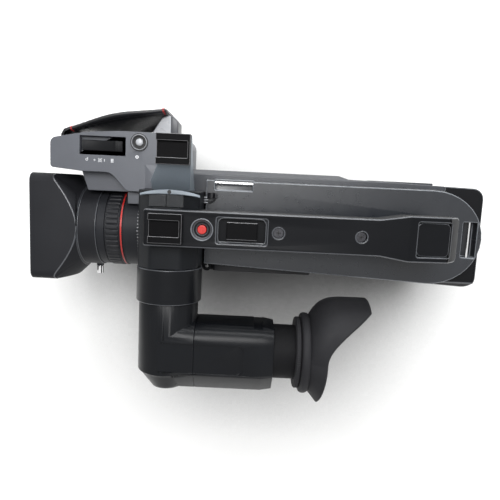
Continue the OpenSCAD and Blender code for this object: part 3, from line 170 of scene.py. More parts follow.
def softPrism(loop, low, high, edge, centre=(0, 0, 0), axis="z", both=False):
    # an outline drawn from low to high, its far edge, or both, rounded by a quarter circle of radius edge
    loop = np.asarray(loop, float)
    q = np.linspace(0, np.pi / 2, 4)
    loops = [loop] + [insetLoop(loop, edge * (1 - math.cos(a))) for a in q]
    heights = [low] + [high + edge * (math.sin(a) - 1) for a in q]
    if both:
        loops = loops[:0:-1] + loops[1:]
        heights = [low + high - h for h in heights[:0:-1]] + heights[1:]
    return stackedLoops(loops, heights, centre, axis)


def hoop(centre, radius, tube, sides=72, sections=10):
    # a round tube bent into a circle about Z
    a = np.linspace(0, 2 * np.pi, sides, endpoint=False)
    path = np.stack([radius * np.cos(a), radius * np.sin(a), 0 * a], -1) + np.asarray(centre, float)
    return tubeAlong(path, tube, sections, closed=True)


def joined(parts):
    # several (points, faces) pairs as one mesh
    points, faces, start = [], [], 0
    for p, f in parts:
        f = f.tolist() if isinstance(f, np.ndarray) else f
        points.append(np.asarray(p, float).reshape(-1, 3))
        faces += [[start + k for k in face] for face in f]
        start += len(points[-1])
    return np.concatenate(points), faces


def dressNode(node, material, bevel, segments, angle=30, edgeHighlightMaterial=None):
    # a merged copy of a node's mesh with softened edges stands for the node; the edges may take a lighter
    # material of their own, a painted highlight
    mesh = nodes[node].data.copy()
    obj = bpy.data.objects.new(node + "Dressed", mesh)
    scene.collection.objects.link(obj)
    bm = bmesh.new()
    bm.from_mesh(mesh)
    bmesh.ops.remove_doubles(bm, verts=bm.verts, dist=weldCad)
    if node not in undissolved:
        bmesh.ops.dissolve_limit(bm, angle_limit=flatAngle, verts=bm.verts, edges=bm.edges)
    bm.to_mesh(mesh)
    bm.free()
    mesh.materials.clear()
    mesh.materials.append(material)
    mesh.shade_smooth()
    mesh.set_sharp_from_angle(angle=math.radians(angle))
    soften = obj.modifiers.new("softEdges", "BEVEL")
    soften.width = bevel * mm
    soften.segments = segments
    soften.limit_method = "ANGLE"
    soften.angle_limit = math.radians(angle)
    soften.use_clamp_overlap = False
    soften.harden_normals = True
    soften.miter_outer = "MITER_ARC"
    if edgeHighlightMaterial:
        mesh.materials.append(edgeHighlightMaterial)
        soften.material = 1
    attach(obj, bodyOf[node])
    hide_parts(node)
    return obj


# Finishes

def startMaterial(name):
    material = bpy.data.materials.new(name)
    material.use_nodes = True
    tree = material.node_tree
    return material, tree, tree.nodes["Principled BSDF"]


def addNode(tree, kind, inputs=None, **settings):
    node = tree.nodes.new(kind)
    for key, value in settings.items():
        setattr(node, key, value)
    for key, value in (inputs or {}).items():
        if isinstance(value, bpy.types.NodeSocket):
            tree.links.new(value, node.inputs[key])
        else:
            node.inputs[key].default_value = value
    return node


def objectPlace(tree, stretch=None):
    place = addNode(tree, "ShaderNodeTexCoord").outputs["Object"]
    if stretch:
        place = addNode(tree, "ShaderNodeMapping", {"Vector": place, "Scale": stretch}).outputs["Vector"]
    return place


def tint(tree, factor, a, b, kind="MIX"):
    mix = addNode(tree, "ShaderNodeMix", data_type="RGBA", blend_type=kind)
    tree.links.new(factor, mix.inputs[0])
    for socket, value in ((mix.inputs[6], a), (mix.inputs[7], b)):
        if isinstance(value, bpy.types.NodeSocket):
            tree.links.new(value, socket)
        else:
            socket.default_value = (*value, 1)
    return mix.outputs[2]


def mathNode(tree, operation, a, b=0.5):
    return addNode(tree, "ShaderNodeMath", {0: a, 1: b}, operation=operation).outputs[0]


def ramped(tree, factor, low, high, toLow=0.0, toHigh=1.0):
    mapped = addNode(tree, "ShaderNodeMapRange", {
        "Value": factor, "From Min": low, "From Max": high, "To Min": toLow, "To Max": toHigh})
    return mapped.outputs["Result"]


def viewRays(tree):
    # 1 for camera, glossy and transmission rays, so that metal and glass show the same background
    rays = addNode(tree, "ShaderNodeLightPath").outputs
    through = mathNode(tree, "MAXIMUM", rays["Is Glossy Ray"], rays["Is Transmission Ray"])
    return mathNode(tree, "MAXIMUM", rays["Is Camera Ray"], through)


def moulded(name, colour, rough=0.42, spread=0.025, cloud=0.10, cloudSize=28.0, grain=0.45, bump=0.16,
            stretch=None, **sockets):
    # moulded plastic: a slow cloud in the colour, a fine spark-eroded grain in the bump, and a middle-sized
    # noise in the roughness
    material, tree, shader = startMaterial(name)
    place = objectPlace(tree, stretch)
    slow = addNode(tree, "ShaderNodeTexNoise", {"Vector": place, "Scale": 1000.0 / cloudSize, "Detail": 3.0})
    fine = addNode(tree, "ShaderNodeTexNoise", {"Vector": place, "Scale": 1000.0 / grain, "Detail": 2.0})
    mid = addNode(tree, "ShaderNodeTexNoise", {"Vector": place, "Scale": 1000.0 / 7.0, "Detail": 5.0})
    base = np.array(colour)
    cloudy = tint(tree, ramped(tree, slow.outputs["Fac"], 0.3, 0.7), base * (1 - cloud), base * (1 + cloud))
    speck = tint(tree, ramped(tree, fine.outputs["Fac"], 0.35, 0.65), base * 0.9, base * 1.08)
    mixed = tint(tree, ramped(tree, mid.outputs["Fac"], 0.0, 1.0, 0.2, 0.6), cloudy, speck)
    tree.links.new(mixed, shader.inputs["Base Color"])
    sheen = ramped(tree, mid.outputs["Fac"], 0.3, 0.7, rough - spread, rough + spread)
    tree.links.new(sheen, shader.inputs["Roughness"])
    lift = addNode(tree, "ShaderNodeBump", {
        "Strength": bump, "Distance": grain * mm * 0.35, "Height": fine.outputs["Fac"]})
    tree.links.new(lift.outputs["Normal"], shader.inputs["Normal"])
    for key, value in sockets.items():
        shader.inputs[key.replace("_", " ")].default_value = value
    return material


def rubbered(name, colour, rough=0.62, **sockets):
    # the same finish with a coarser, deeper grain
    return moulded(name, colour, rough=rough, spread=0.04, cloudSize=18, grain=0.7, bump=0.3, **sockets)


def leathered(name, colour, rough=0.36):
    # leather: cells with creases between them, broken up by noise, and a rubbed sheen along the raised parts
    material, tree, shader = startMaterial(name)
    place = objectPlace(tree)
    warp = addNode(tree, "ShaderNodeTexNoise", {"Vector": place, "Scale": 260.0, "Detail": 3.0})
    shifted = addNode(tree, "ShaderNodeVectorMath", {0: place}, operation="ADD")
    small = addNode(tree, "ShaderNodeVectorMath", {0: warp.outputs["Color"], 3: 0.0016}, operation="SCALE")
    tree.links.new(small.outputs[0], shifted.inputs[1])
    cells = addNode(tree, "ShaderNodeTexVoronoi", {"Vector": shifted.outputs[0], "Scale": 760.0},
                    feature="DISTANCE_TO_EDGE")
    crease = ramped(tree, cells.outputs["Distance"], 0.0, 0.16)
    slow = addNode(tree, "ShaderNodeTexNoise", {"Vector": place, "Scale": 45.0, "Detail": 4.0})
    base = np.array(colour)
    raised = tint(tree, slow.outputs["Fac"], base * 0.85, base * 1.3)
    tree.links.new(tint(tree, crease, base * 0.55, raised), shader.inputs["Base Color"])
    sheen = ramped(tree, slow.outputs["Fac"], 0.3, 0.7, rough - 0.07, rough + 0.09)
    tree.links.new(sheen, shader.inputs["Roughness"])
    fold = addNode(tree, "ShaderNodeTexNoise", {"Vector": place, "Scale": 120.0, "Detail": 4.0})
    heights = mathNode(tree, "ADD", crease, ramped(tree, fold.outputs["Fac"], 0.3, 0.7, 0.0, 0.8))
    lift = addNode(tree, "ShaderNodeBump", {"Strength": 0.35, "Distance": 0.0002, "Height": heights})
    tree.links.new(lift.outputs["Normal"], shader.inputs["Normal"])
    return material


def metalled(name, colour, rough=0.2, brushed=None):
    # metal: a smear in the colour and fine hairs in the roughness and bump, drawn out where it is brushed
    material, tree, shader = startMaterial(name)
    place = objectPlace(tree, brushed)
    hair = addNode(tree, "ShaderNodeTexNoise", {"Vector": place, "Scale": 420.0, "Detail": 4.0})
    smear = addNode(tree, "ShaderNodeTexNoise", {"Vector": place, "Scale": 60.0, "Detail": 3.0})
    base = np.array(colour)
    smeared = tint(tree, smear.outputs["Fac"], base * 0.86, np.minimum(base * 1.08, 1))
    tree.links.new(smeared, shader.inputs["Base Color"])
    sheen = ramped(tree, hair.outputs["Fac"], 0.3, 0.7, rough * 0.7, rough * 1.4)
    tree.links.new(sheen, shader.inputs["Roughness"])
    lift = addNode(tree, "ShaderNodeBump", {
        "Strength": 0.12, "Distance": 0.00004, "Height": hair.outputs["Fac"]})
    tree.links.new(lift.outputs["Normal"], shader.inputs["Normal"])
    shader.inputs["Metallic"].default_value = 1.0
    return material


def coatedGlass(name, colour, rough=0.03):
    # lens glass: a dark body under a tinted coating that shifts with the angle
    material, tree, shader = startMaterial(name)
    place = objectPlace(tree)
    faint = addNode(tree, "ShaderNodeTexNoise", {"Vector": place, "Scale": 90.0, "Detail": 2.0})
    base = np.array(colour)
    edge = addNode(tree, "ShaderNodeLayerWeight", {"Blend": 0.35})
    coating = tint(tree, edge.outputs["Facing"], base, base * np.array([2.4, 0.8, 2.0]))
    tree.links.new(coating, shader.inputs["Base Color"])
    tree.links.new(ramped(tree, faint.outputs["Fac"], 0.3, 0.7, rough, rough * 2), shader.inputs["Roughness"])
    shader.inputs["Coat Weight"].default_value = 1.0
    shader.inputs["Coat Roughness"].default_value = 0.02
    shader.inputs["Coat Tint"].default_value = (0.75, 0.85, 1.0, 1)
    return material


def circuitBoard(name):
    # board: green lacquer with copper tracks from a brick pattern and pads from cells
    material, tree, shader = startMaterial(name)
    place = objectPlace(tree)
    tracks = addNode(tree, "ShaderNodeTexBrick", {"Vector": place, "Scale": 220.0, "Mortar Size": 0.06})
    pads = addNode(tree, "ShaderNodeTexVoronoi", {"Vector": place, "Scale": 420.0})
    track = tint(tree, tracks.outputs["Fac"], (0.006, 0.075, 0.03), (0.02, 0.16, 0.06))
    board = tint(tree, ramped(tree, pads.outputs["Distance"], 0.1, 0.16), (0.5, 0.42, 0.2), track)
    tree.links.new(board, shader.inputs["Base Color"])
    tree.links.new(ramped(tree, pads.outputs["Distance"], 0.1, 0.2, 0.25, 0.45), shader.inputs["Roughness"])
    return material


def perforated(name, plate, hole, pitch=1.25):
    # a pressed plate with rows of small round holes painted dark, a painted shade: |sin x sin y|, pitch in
    # millimetres
    material, tree, shader = startMaterial(name)
    perMetre = 2 * math.pi / (pitch * mm)
    split = addNode(tree, "ShaderNodeSeparateXYZ", {"Vector": objectPlace(tree, (perMetre,) * 3)})
    across, along = [mathNode(tree, "SINE", split.outputs[axis]) for axis in "XY"]
    wave = mathNode(tree, "ABSOLUTE", mathNode(tree, "MULTIPLY", across, along))
    opening = ramped(tree, wave, 0.25, 0.45)
    tree.links.new(tint(tree, opening, plate, hole), shader.inputs["Base Color"])
    tree.links.new(ramped(tree, opening, 0, 1, 0.38, 0.8), shader.inputs["Roughness"])
    lift = addNode(tree, "ShaderNodeBump", {
        "Strength": 0.5, "Distance": 0.0002, "Height": ramped(tree, opening, 0, 1, 1, 0)})
    tree.links.new(lift.outputs["Normal"], shader.inputs["Normal"])
    return material


caseBlack = moulded("caseBlack", (0.0045, 0.0048, 0.0058), rough=0.44, Specular_IOR_Level=0.12)
caseGrey = moulded("caseGrey", (0.026, 0.0285, 0.035), rough=0.38)
deckSatin = moulded("deckSatin", (0.012, 0.014, 0.018), rough=0.29, cloud=0.05, bump=0.02,
                    Specular_IOR_Level=0.55)
handleBlack = moulded("handleBlack", (0.0042, 0.0046, 0.0058), rough=0.40, cloud=0.08, bump=0.08,
                      Specular_IOR_Level=0.10)
towerGrey = moulded("towerGrey", (0.0075, 0.0086, 0.0105), rough=0.42, cloud=0.08, Specular_IOR_Level=0.14)
gripGrey = moulded("gripGrey", (0.085, 0.090, 0.104), rough=0.38, cloud=0.07, grain=0.6, bump=0.22,
                   Specular_IOR_Level=0.4)
armGrey = moulded("armGrey", (0.20, 0.235, 0.27), rough=0.45, cloud=0.05)
anchorGrey = moulded("anchorGrey", (0.26, 0.27, 0.29), rough=0.28, bump=0.05)
hoodMatte = moulded("hoodMatte", (0.015, 0.0155, 0.018), rough=0.52, grain=0.6, bump=0.22,
                    Specular_IOR_Level=0.12)
barrelGrey = moulded("barrelGrey", (0.018, 0.019, 0.022), rough=0.42, stretch=(1, 3, 3),
                     Specular_IOR_Level=0.12)
lensBlack = moulded("lensBlack", (0.012, 0.0125, 0.015), rough=0.42, Specular_IOR_Level=0.2)
redPaint = moulded("redPaint", (0.46, 0.022, 0.018), rough=0.28, cloud=0.05, bump=0.04)
glossBlack = moulded("glossBlack", (0.004, 0.004, 0.0045), rough=0.5, bump=0.03, Specular_IOR_Level=0.04)
rubberBlack = rubbered("rubberBlack", (0.016, 0.016, 0.018), Specular_IOR_Level=0.15)
plainBlack = moulded("plainBlack", (0.010, 0.010, 0.012), rough=0.40, Specular_IOR_Level=0.3)
# near black laid in holes, wells and slots where there is only shade: painted shade
paintedShadeBlack = moulded("paintedShadeBlack", (0.003, 0.003, 0.0035), rough=0.6)
strapLeather = leathered("strapLeather", (0.013, 0.013, 0.0145), rough=0.32)
stitchRed = moulded("stitchRed", (0.50, 0.03, 0.03), rough=0.7, grain=0.3, bump=0.4)
brightMetal = metalled("brightMetal", (0.80, 0.80, 0.80), rough=0.14)
frameMetal = metalled("frameMetal", (0.42, 0.43, 0.45), rough=0.42, brushed=(1, 12, 1))
screwBlack = metalled("screwBlack", (0.05, 0.05, 0.055), rough=0.35)
lensGlass = coatedGlass("lensGlass", (0.012, 0.014, 0.028))
displayGlass = coatedGlass("displayGlass", (0.004, 0.005, 0.007), rough=0.06)
boardGreen = circuitBoard("boardGreen")
satinSilver = moulded("satinSilver", (0.40, 0.41, 0.43), rough=0.30, cloud=0.04, bump=0.04)
armBlack = moulded("armBlack", (0.0042, 0.0048, 0.0062), rough=0.32, Specular_IOR_Level=0.16, bump=0.05)
tubeBlack = moulded("tubeBlack", (0.007, 0.007, 0.0078), rough=0.62, Specular_IOR_Level=0.08)
whiteMark = moulded("whiteMark", (0.70, 0.71, 0.73), rough=0.5, cloud=0.03)
# lighter colours for softened edges and thin rims: painted highlights where light catches them
paintedHighlightEdge = moulded("paintedHighlightEdge", (0.060, 0.064, 0.072), rough=0.30, bump=0.05)
paintedHighlightPale = moulded("paintedHighlightPale", (0.14, 0.15, 0.165), rough=0.28, bump=0.05)
paintedGlintEdge = moulded("paintedGlintEdge", (0.10, 0.10, 0.105), rough=0.18, bump=0.03)
grilleMesh = perforated("grilleMesh", (0.020, 0.024, 0.028), (0.003, 0.003, 0.004))

slotMaterials = {
    "casing_black": caseBlack, "casing_grey": caseGrey, "deck_satin": deckSatin, "handle_black": handleBlack,
    "tower_grey": towerGrey, "grip_grey": gripGrey, "arm_grey": armGrey, "anchor_grey": anchorGrey,
    "hood_matte": hoodMatte, "barrel_grey": barrelGrey, "lens_black": lensBlack, "red_paint": redPaint,
    "gloss_black": glossBlack, "rubber_black": rubberBlack, "strap_leather": strapLeather,
    "plain_black": plainBlack, "bright_metal": brightMetal, "screw_black": screwBlack,
    "frame_metal": frameMetal, "lens_glass": lensGlass, "display_glass": displayGlass,
    "board_green": boardGreen,
}
for node, obj in nodes.items():
    obj.data.materials.clear()
    obj.data.materials.append(slotMaterials[slotOf[node]])
print("finishes made:", len(bpy.data.materials))


# Shells with softened edges: bevel width in millimetres and its steps

softEdges = {
    "left_shell": (0.8, 2), "right_shell": (0.8, 2), "rear_block": (1.0, 3), "front_bezel": (0.8, 2),
    "top_deck": (0.7, 3), "handle_upper": (1.0, 3), "handle_lower": (0.8, 2), "handle_cover": (0.5, 2),
    "cross_tube": (0.8, 3), "shoe_arm": (0.7, 2), "handle_shoe": (0.35, 2), "side_shoe": (0.35, 2),
    "evf_collar": (0.8, 3), "evf_elbow": (0.4, 2), "evf_arm": (0.4, 2), "grip_shell": (0.4, 2),
    "grip_step": (0.8, 3), "strap_front_anchor": (0.6, 2), "strap_rear_anchor": (1.2, 3),
    "lens_hood": (0.7, 3), "lens_barrel": (0.4, 2), "filter_ring": (0.4, 2), "red_ring": (0.3, 2),
    "battery": (0.8, 2), "battery_release": (0.6, 2), "terminal_door": (0.5, 2), "screen_panel": (0.8, 3),
    "record_button": (0.6, 3), "shoulder_pad": (1.2, 3), "rear_feet": (0.8, 2),
    "base_plate": (0.5, 2), "cable_clip": (0.3, 2), "handle_rocker": (0.6, 3),
    "eye_tube": (0.4, 2), "mode_dial": (0.5, 2),
}
# lighter materials on the softened edges of these nodes: painted highlights
paintedEdgeHighlights = {
    "top_deck": paintedHighlightPale, "lens_hood": paintedHighlightEdge, "handle_upper": paintedHighlightEdge, "handle_shoe": paintedGlintEdge,
    "side_shoe": paintedGlintEdge, "handle_cover": paintedHighlightEdge, "evf_collar": paintedHighlightEdge, "handle_rocker": paintedGlintEdge,
    "rear_block": paintedHighlightEdge,
}
ownFinish = {"evf_collar": armBlack, "evf_elbow": armBlack, "evf_arm": armBlack, "eye_tube": tubeBlack}
# faces closer than this are one flat face; joining them left shading marks on two nodes, which are left out
flatAngle = math.radians(0.7)
undissolved = ("evf_arm", "evf_elbow")
for node, (width, steps) in softEdges.items():
    finish = ownFinish.get(node, slotMaterials[slotOf[node]])
    dressNode(node, finish, width, steps, edgeHighlightMaterial=paintedEdgeHighlights.get(node))
nodes["mic_grilles"].data.materials[0] = grilleMesh
print("shells dressed:", len(softEdges))


# Lens rings

lensAxis = (0.0, -11.5, 105.0)
focusRing = dict(x0=-139.0, x1=-124.6, bore=33.05, rim=37.6, rib=38.3, ribs=46, sharp=5.0, groove=0.3,
                 lip=1.3, cut=0.5, sides=840)


def focusBump(angle, p):
    # ribs: -(1 - w)^sharp times their depth, with w = (1 + cos(ribs a)) / 2, on the points at the rib radius
    f = focusRing
    wave = 0.5 + 0.5 * np.cos(angle * f["ribs"])
    raised = 1 - (1 - wave) ** f["sharp"]
    return np.where(p[..., 1] > f["rim"] + 0.01, (raised - 1) * (f["rib"] - f["rim"] + f["groove"]), 0.0)


def focusOutline():
    # a low lip at each end, a small chamfer, and the ribbed part between
    f = focusRing
    half = [(0, f["bore"]), (0, f["rim"] - f["cut"]), (f["cut"], f["rim"]), (f["lip"], f["rim"]),
            (f["lip"] + f["cut"], f["rib"])]
    front = [(f["x0"] + x, r) for x, r in half]
    back = [(f["x1"] - x, r) for x, r in half[::-1]]
    return front + [((f["x0"] + f["x1"]) / 2, f["rib"])] + back


makePiece("focusRingRibs", *spun(focusOutline(), focusRing["sides"], lensAxis, bump=focusBump),
          lensBlack, "focus_ring", "lens_black", replaced=["focus_ring"])
print("lens rings made")


# Hand strap: a padded leather band with rolled edges and a seam along each side

handStrap = dict(
    x0=-183.0, x1=-84.0, y0=82.0, y1=104.0, z=98.0, bow=2.7, endThick=5.0, thick=8.0, height=60.0, lean=0.18,
    curl=11.0, curlFrom=0.67, first=0.02, last=0.98, fade=0.022, rows=120, cols=72, square=0.72,
    seamAt=0.40, seamWide=1.1, seamDeep=0.55, tuckAt=0.36, tuckWide=5.0, tuckDeep=0.16, tucks=95)


def strapCentre(s):
    # a line from the front anchor to the rear one that rises quickly, then eases, and is drawn in at the
    # middle: x0 + (x1 - x0) s, y0 + (y1 - y0) s^0.9 - bow sin^2(pi s)
    h = handStrap
    return np.stack([h["x0"] + (h["x1"] - h["x0"]) * s,
                     h["y0"] + (h["y1"] - h["y0"]) * s ** 0.9 - h["bow"] * np.sin(np.pi * s) ** 2], -1)


def strapNormal(s):
    d = strapCentre(s + 0.01) - strapCentre(s)
    d /= np.linalg.norm(d, axis=-1, keepdims=True)
    return np.stack([-d[..., 1], d[..., 0]], -1)


def strapSkin(s, a, lift=0.0):
    # superellipse sections along the centre line, u = thick / 2 cos^square a and v = tall / 2 sin^square a,
    # that lean outwards by lean v sin^2(pi s) and whose lower edge curls in towards the grip over the rear
    # half, with a stitched groove and small tucks along each edge
    h = handStrap
    ends = np.clip(np.minimum(s - h["first"], h["last"] - s) / h["fade"], 0, 1) ** 0.5
    middle = np.sin(np.pi * s)
    late = np.maximum(2 * s - 1, 0)
    thick = (h["endThick"] + (h["thick"] - h["endThick"]) * middle ** 0.6) * (0.35 + 0.65 * ends)
    tall = h["height"] * (0.62 + 0.38 * middle + 0.24 * late ** 2) * (0.94 + 0.06 * ends)
    u = thick / 2 * np.sign(np.cos(a)) * np.abs(np.cos(a)) ** h["square"]
    v = tall / 2 * np.sign(np.sin(a)) * np.abs(np.sin(a)) ** h["square"]
    seam = h["seamDeep"] * np.exp(-((np.abs(v) - tall * h["seamAt"]) / h["seamWide"]) ** 2)
    tuckBand = np.exp(-((np.abs(v) - tall * h["tuckAt"]) / h["tuckWide"]) ** 2)
    tucks = h["tuckDeep"] * np.sin(s * h["tucks"] + v * 0.06) * tuckBand
    low = np.maximum(-2 * v / tall - h["curlFrom"], 0) / (1 - h["curlFrom"])
    curl = h["curl"] * late ** 0.8 * low ** 1.2
    u = u - np.sign(u) * np.minimum(seam + tucks, np.abs(u) * 0.6) + lift * np.cos(a)
    v = v + lift * np.sin(a)
    c, n = strapCentre(s[:, 0]), strapNormal(s[:, 0])
    x = c[:, None, 0] + n[:, None, 0] * u
    y = c[:, None, 1] + n[:, None, 1] * u + h["lean"] * middle ** 2 * v - curl
    return np.stack([x, y, h["z"] + v], -1)


def strapSurface():
    # rows of strapSkin from end to end, each a closed section, with a fan over each end
    h = handStrap
    s = np.linspace(h["first"], h["last"], h["rows"])[:, None]
    a = np.linspace(0, 2 * np.pi, h["cols"], endpoint=False)[None, :]
    pts = strapSkin(s, a)
    faces = gridFaces(h["rows"], h["cols"], False, True).tolist() + endFans(h["rows"], h["cols"])
    return np.vstack([pts.reshape(-1, 3), pts[0].mean(0), pts[-1].mean(0)]), faces


strap = makePiece("handStrapLeather", *strapSurface(), strapLeather, "camcorder", "strap_leather",
                  replaced=["hand_strap"], smooth=180)

strapTrim = dict(
    seams=(0.034, 0.044, 0.945, 0.955), dashes=15, first=-75.0, last=150.0, share=0.6, thread=0.4,
    # the web folded round the front anchor, seen from above
    web=[(-188.9, 70.0), (-187.3, 70.0), (-187.4, 76.0), (-185.6, 79.6),
         (-180.6, 82.6), (-181.2, 85.0), (-187.0, 82.6), (-190.0, 77.4)],
    webZ=(80.5, 115.5), webEdge=0.6,
    # the block that holds the rear end
    keeper=[(-83.6, 79.9), (-76.4, 79.9), (-76.4, 94.4), (-81.2, 99.7), (-83.6, 99.9)],
    keeperZ=(85.6, 110.4), keeperEdge=0.8)
st = strapTrim
dashParts = []
edges = np.radians(np.linspace(st["first"], st["last"], st["dashes"] + 1))
for seam in st["seams"]:
    for a0, a1 in zip(edges[:-1], edges[1:]):
        run = np.linspace(a0, a0 + (a1 - a0) * st["share"], 5)[None, :]
        dashParts.append(tubeAlong(strapSkin(np.array([[seam]]), run, lift=0.1)[0], st["thread"], 8))
makePiece("strapStitches", *joined(dashParts), stitchRed, "camcorder", "strap_leather", smooth=60)
makePiece("strapWeb", *softPrism(st["web"], *st["webZ"], st["webEdge"], both=True),
          plainBlack, "camcorder", "strap_leather")
makePiece("strapKeeper", *softPrism(st["keeper"], *st["keeperZ"], st["keeperEdge"], both=True),
          caseGrey, "camcorder", "anchor_grey")
print("hand strap made")


# Eyecup: soft rubber whose rim flares into a wing on the body's side

eyeAxis = (0.0, -108.5, 182.0)
cup = dict(
    x0=47.3, base=7.4, root=31.0, depth=8.5, side=4.6, wing=41.5, tip=0.9, topR=35.0, wingR=51.0, lowR=42.8,
    wall=2.0, lean=0.7, rows=56, sides=240, baseR=35.0, baseDip=3.2, bore=23.8)


def cupRim(a):
    # rim radius and rim place round the cup: with c = cos a, the radius is topR + (wingR - topR) |c|^1.5 on
    # the wing's side, lowR instead of wingR on the other, and the wing reaches out as (c / tip)^2.4 to a
    # blunt tip
    c = np.cos(a)
    far = np.where(c > 0, cup["wingR"], cup["lowR"])
    r = cup["topR"] + (far - cup["topR"]) * np.abs(c) ** 1.5
    t = np.clip(c / cup["tip"], 0, 1)
    reach = t ** 2.4 - 0.035 * np.clip((t - 0.8) / 0.2, 0, 1) ** 2
    flare = cup["side"] * (1 - np.minimum(c, 0) ** 2) + (cup["wing"] - cup["side"]) * reach
    return r, cup["x0"] + cup["base"] + cup["depth"] + flare


def cupSkin(inset, s):
    # from the root to the rim: the radius rises as 1 - (1 - s)^p, fast under the wing and evenly elsewhere
    a = np.linspace(0, 2 * np.pi, cup["sides"], endpoint=False)[None, :]
    p = 1 + 5 * np.maximum(np.cos(a), 0)
    rimR, rimX = cupRim(a)
    root = cup["root"] - inset
    r = root + (rimR - inset - root) * (1 - np.maximum(1 - s, 0) ** p)
    start = cup["x0"] + cup["base"] - 1
    x = start + (rimX - start) * s + inset * cup["lean"] * (1 - 0.7 * s)
    return np.stack([x, eyeAxis[1] + r * np.cos(a), eyeAxis[2] + r * np.sin(a)], -1)


def cupBaseOutline():
    # a rounded collar: the place runs as (1 - cos q) / 2 and the radius dips by 1 - sin^0.6 q at its ends
    x0, base = cup["x0"], cup["base"]
    swell = [(x0 + base * (0.5 - 0.5 * np.cos(q)), cup["baseR"] - cup["baseDip"] * (1 - np.sin(q) ** 0.6))
             for q in np.linspace(0, np.pi, 17)]
    return [(x0, cup["bore"])] + swell + [(x0 + base, cup["bore"])]


along = np.linspace(0, 1, cup["rows"])[:, None] ** 1.4
roundedRim = cupSkin(cup["wall"] / 2, np.array([[1.0]])) + np.array([cup["lean"], 0, 0])
skin = np.concatenate([cupSkin(0, along), roundedRim, cupSkin(cup["wall"], along[::-1])])
makePiece("eyecupRubber", skin, gridFaces(len(skin), cup["sides"], True, True),
          rubberBlack, "eyecup", "rubber_black", replaced=["eyecup"], smooth=180)
makePiece("eyecupBase", *spun(cupBaseOutline(), 96, eyeAxis), rubberBlack, "eyecup", "rubber_black")

dioptre = dict(x0=42.6, x1=47.0, r=31.0, bore=23.55, cut=0.9, ribs=120, ribDeep=0.3)


def dioptreBump(a, p):
    # fine grooves: -ribDeep ((1 - cos(ribs a)) / 2)^2 on the outermost points
    groove = -dioptre["ribDeep"] * (0.5 - 0.5 * np.cos(a * dioptre["ribs"])) ** 2
    return np.where(p[..., 1] > dioptre["r"] - 0.1, groove, 0.0)


d = dioptre
dioptreProfile = [(d["x0"], d["bore"]), (d["x0"], d["r"] - d["cut"]), (d["x0"] + d["cut"], d["r"]),
                  (d["x1"] - d["cut"], d["r"]), (d["x1"], d["r"] - d["cut"]), (d["x1"], d["bore"])]
makePiece("dioptreRingRibs", *spun(dioptreProfile, 480, eyeAxis, bump=dioptreBump),
          rubberBlack, "dioptre_ring", "rubber_black", replaced=["dioptre_ring"])
print("eyepiece made")


# Lens trim: black rings beside the red one, and a row of plain ticks round the barrel

def flatRing(inner, outer, low, high, centre, axis="z", sides=96):
    # a washer from an inner to an outer radius
    return spun([(low, inner), (low, outer), (high, outer), (high, inner)], sides, centre, axis)


def block(x0, x1, y0, y1, z0, z1, edge=0.25):
    # a box with rounded upright corners and a rounded top
    w, h = x1 - x0, y1 - y0
    loop = roundedLoop(w, h, min(edge * 1.5, w / 2.2, h / 2.2), 3)
    return softPrism(loop, z0, z1, min(edge, w / 2.4, h / 2.4), ((x0 + x1) / 2, (y0 + y1) / 2, 0))


lensTrim = dict(edgeBore=36.0, edgeR=38.02, edgeX=(-124.35, -122.35), edgeW=0.5, tickX=-106.9,
                tickR=(37.42, 37.57), tickSpan=34.0, ticks=15, tick=(1.5, 0.42), middleTick=2.25)
lt = lensTrim
redEdges = [
    flatRing(lt["edgeBore"], lt["edgeR"], x, x + lt["edgeW"], lensAxis, "x", 180) for x in lt["edgeX"]]
makePiece("redRingEdges", *joined(redEdges), lensBlack, "camcorder", "lens_black")
tickParts = []
for a in np.radians(np.linspace(-lt["tickSpan"], lt["tickSpan"], lt["ticks"])):
    # a small flat slab laid on the barrel at the angle a from the top; the middle one is longer
    long, wide = lt["tick"]
    if abs(math.degrees(a)) < 1:
        long = lt["middleTick"]
    spread = np.array([[-long, -wide], [long, -wide], [long, wide], [-long, wide]]) / 2
    rise = np.array(lt["tickR"])[:, None]
    x = lt["tickX"] + spread[None, :, 0] + 0 * rise
    y = lensAxis[1] + rise * math.sin(a) + spread[None, :, 1] * math.cos(a)
    z = lensAxis[2] + rise * math.cos(a) - spread[None, :, 1] * math.sin(a)
    walls = [[k, (k + 1) % 4, 4 + (k + 1) % 4, 4 + k] for k in range(4)]
    tickParts.append((np.stack([x, y, z], -1).reshape(-1, 3), [[0, 1, 2, 3], [7, 6, 5, 4]] + walls))
makePiece("barrelTicks", *joined(tickParts), whiteMark, "camcorder", "barrel_grey")
print("lens trim made")


# Grip controls: a silver photo button in a ringed well, a dished zoom rocker, and small plain icons

gripTop = 148.0
photo = dict(x=-105.4, y=70.2, r=3.45, tipR=0.02, z0=141.4, rise=148.95, crown=1.5, wellR=(3.7, 5.95),
             wellZ=(147.0, 147.1), rimR=(5.9, 7.95), rimZ=(148.9, 149.08), lineR=6.75, lineZ=149.0, line=0.36)
ph = photo
photoSpot = (ph["x"], ph["y"], 0)
# the crown runs as rise - crown (1 - sin q), r cos^0.6 q
crown = [(ph["rise"] + ph["crown"] * (math.sin(q) - 1), ph["r"] * math.cos(q) ** 0.6)
         for q in np.linspace(0, np.pi / 2 - 0.001, 9)]
dome = [(ph["z0"], ph["tipR"]), (ph["z0"], ph["r"])] + crown + [(ph["rise"], ph["tipR"])]
makePiece("photoButtonDome", *spun(dome, 72, photoSpot, "z"),
          satinSilver, "photo_button", "bright_metal", replaced=["photo_button"], smooth=50)
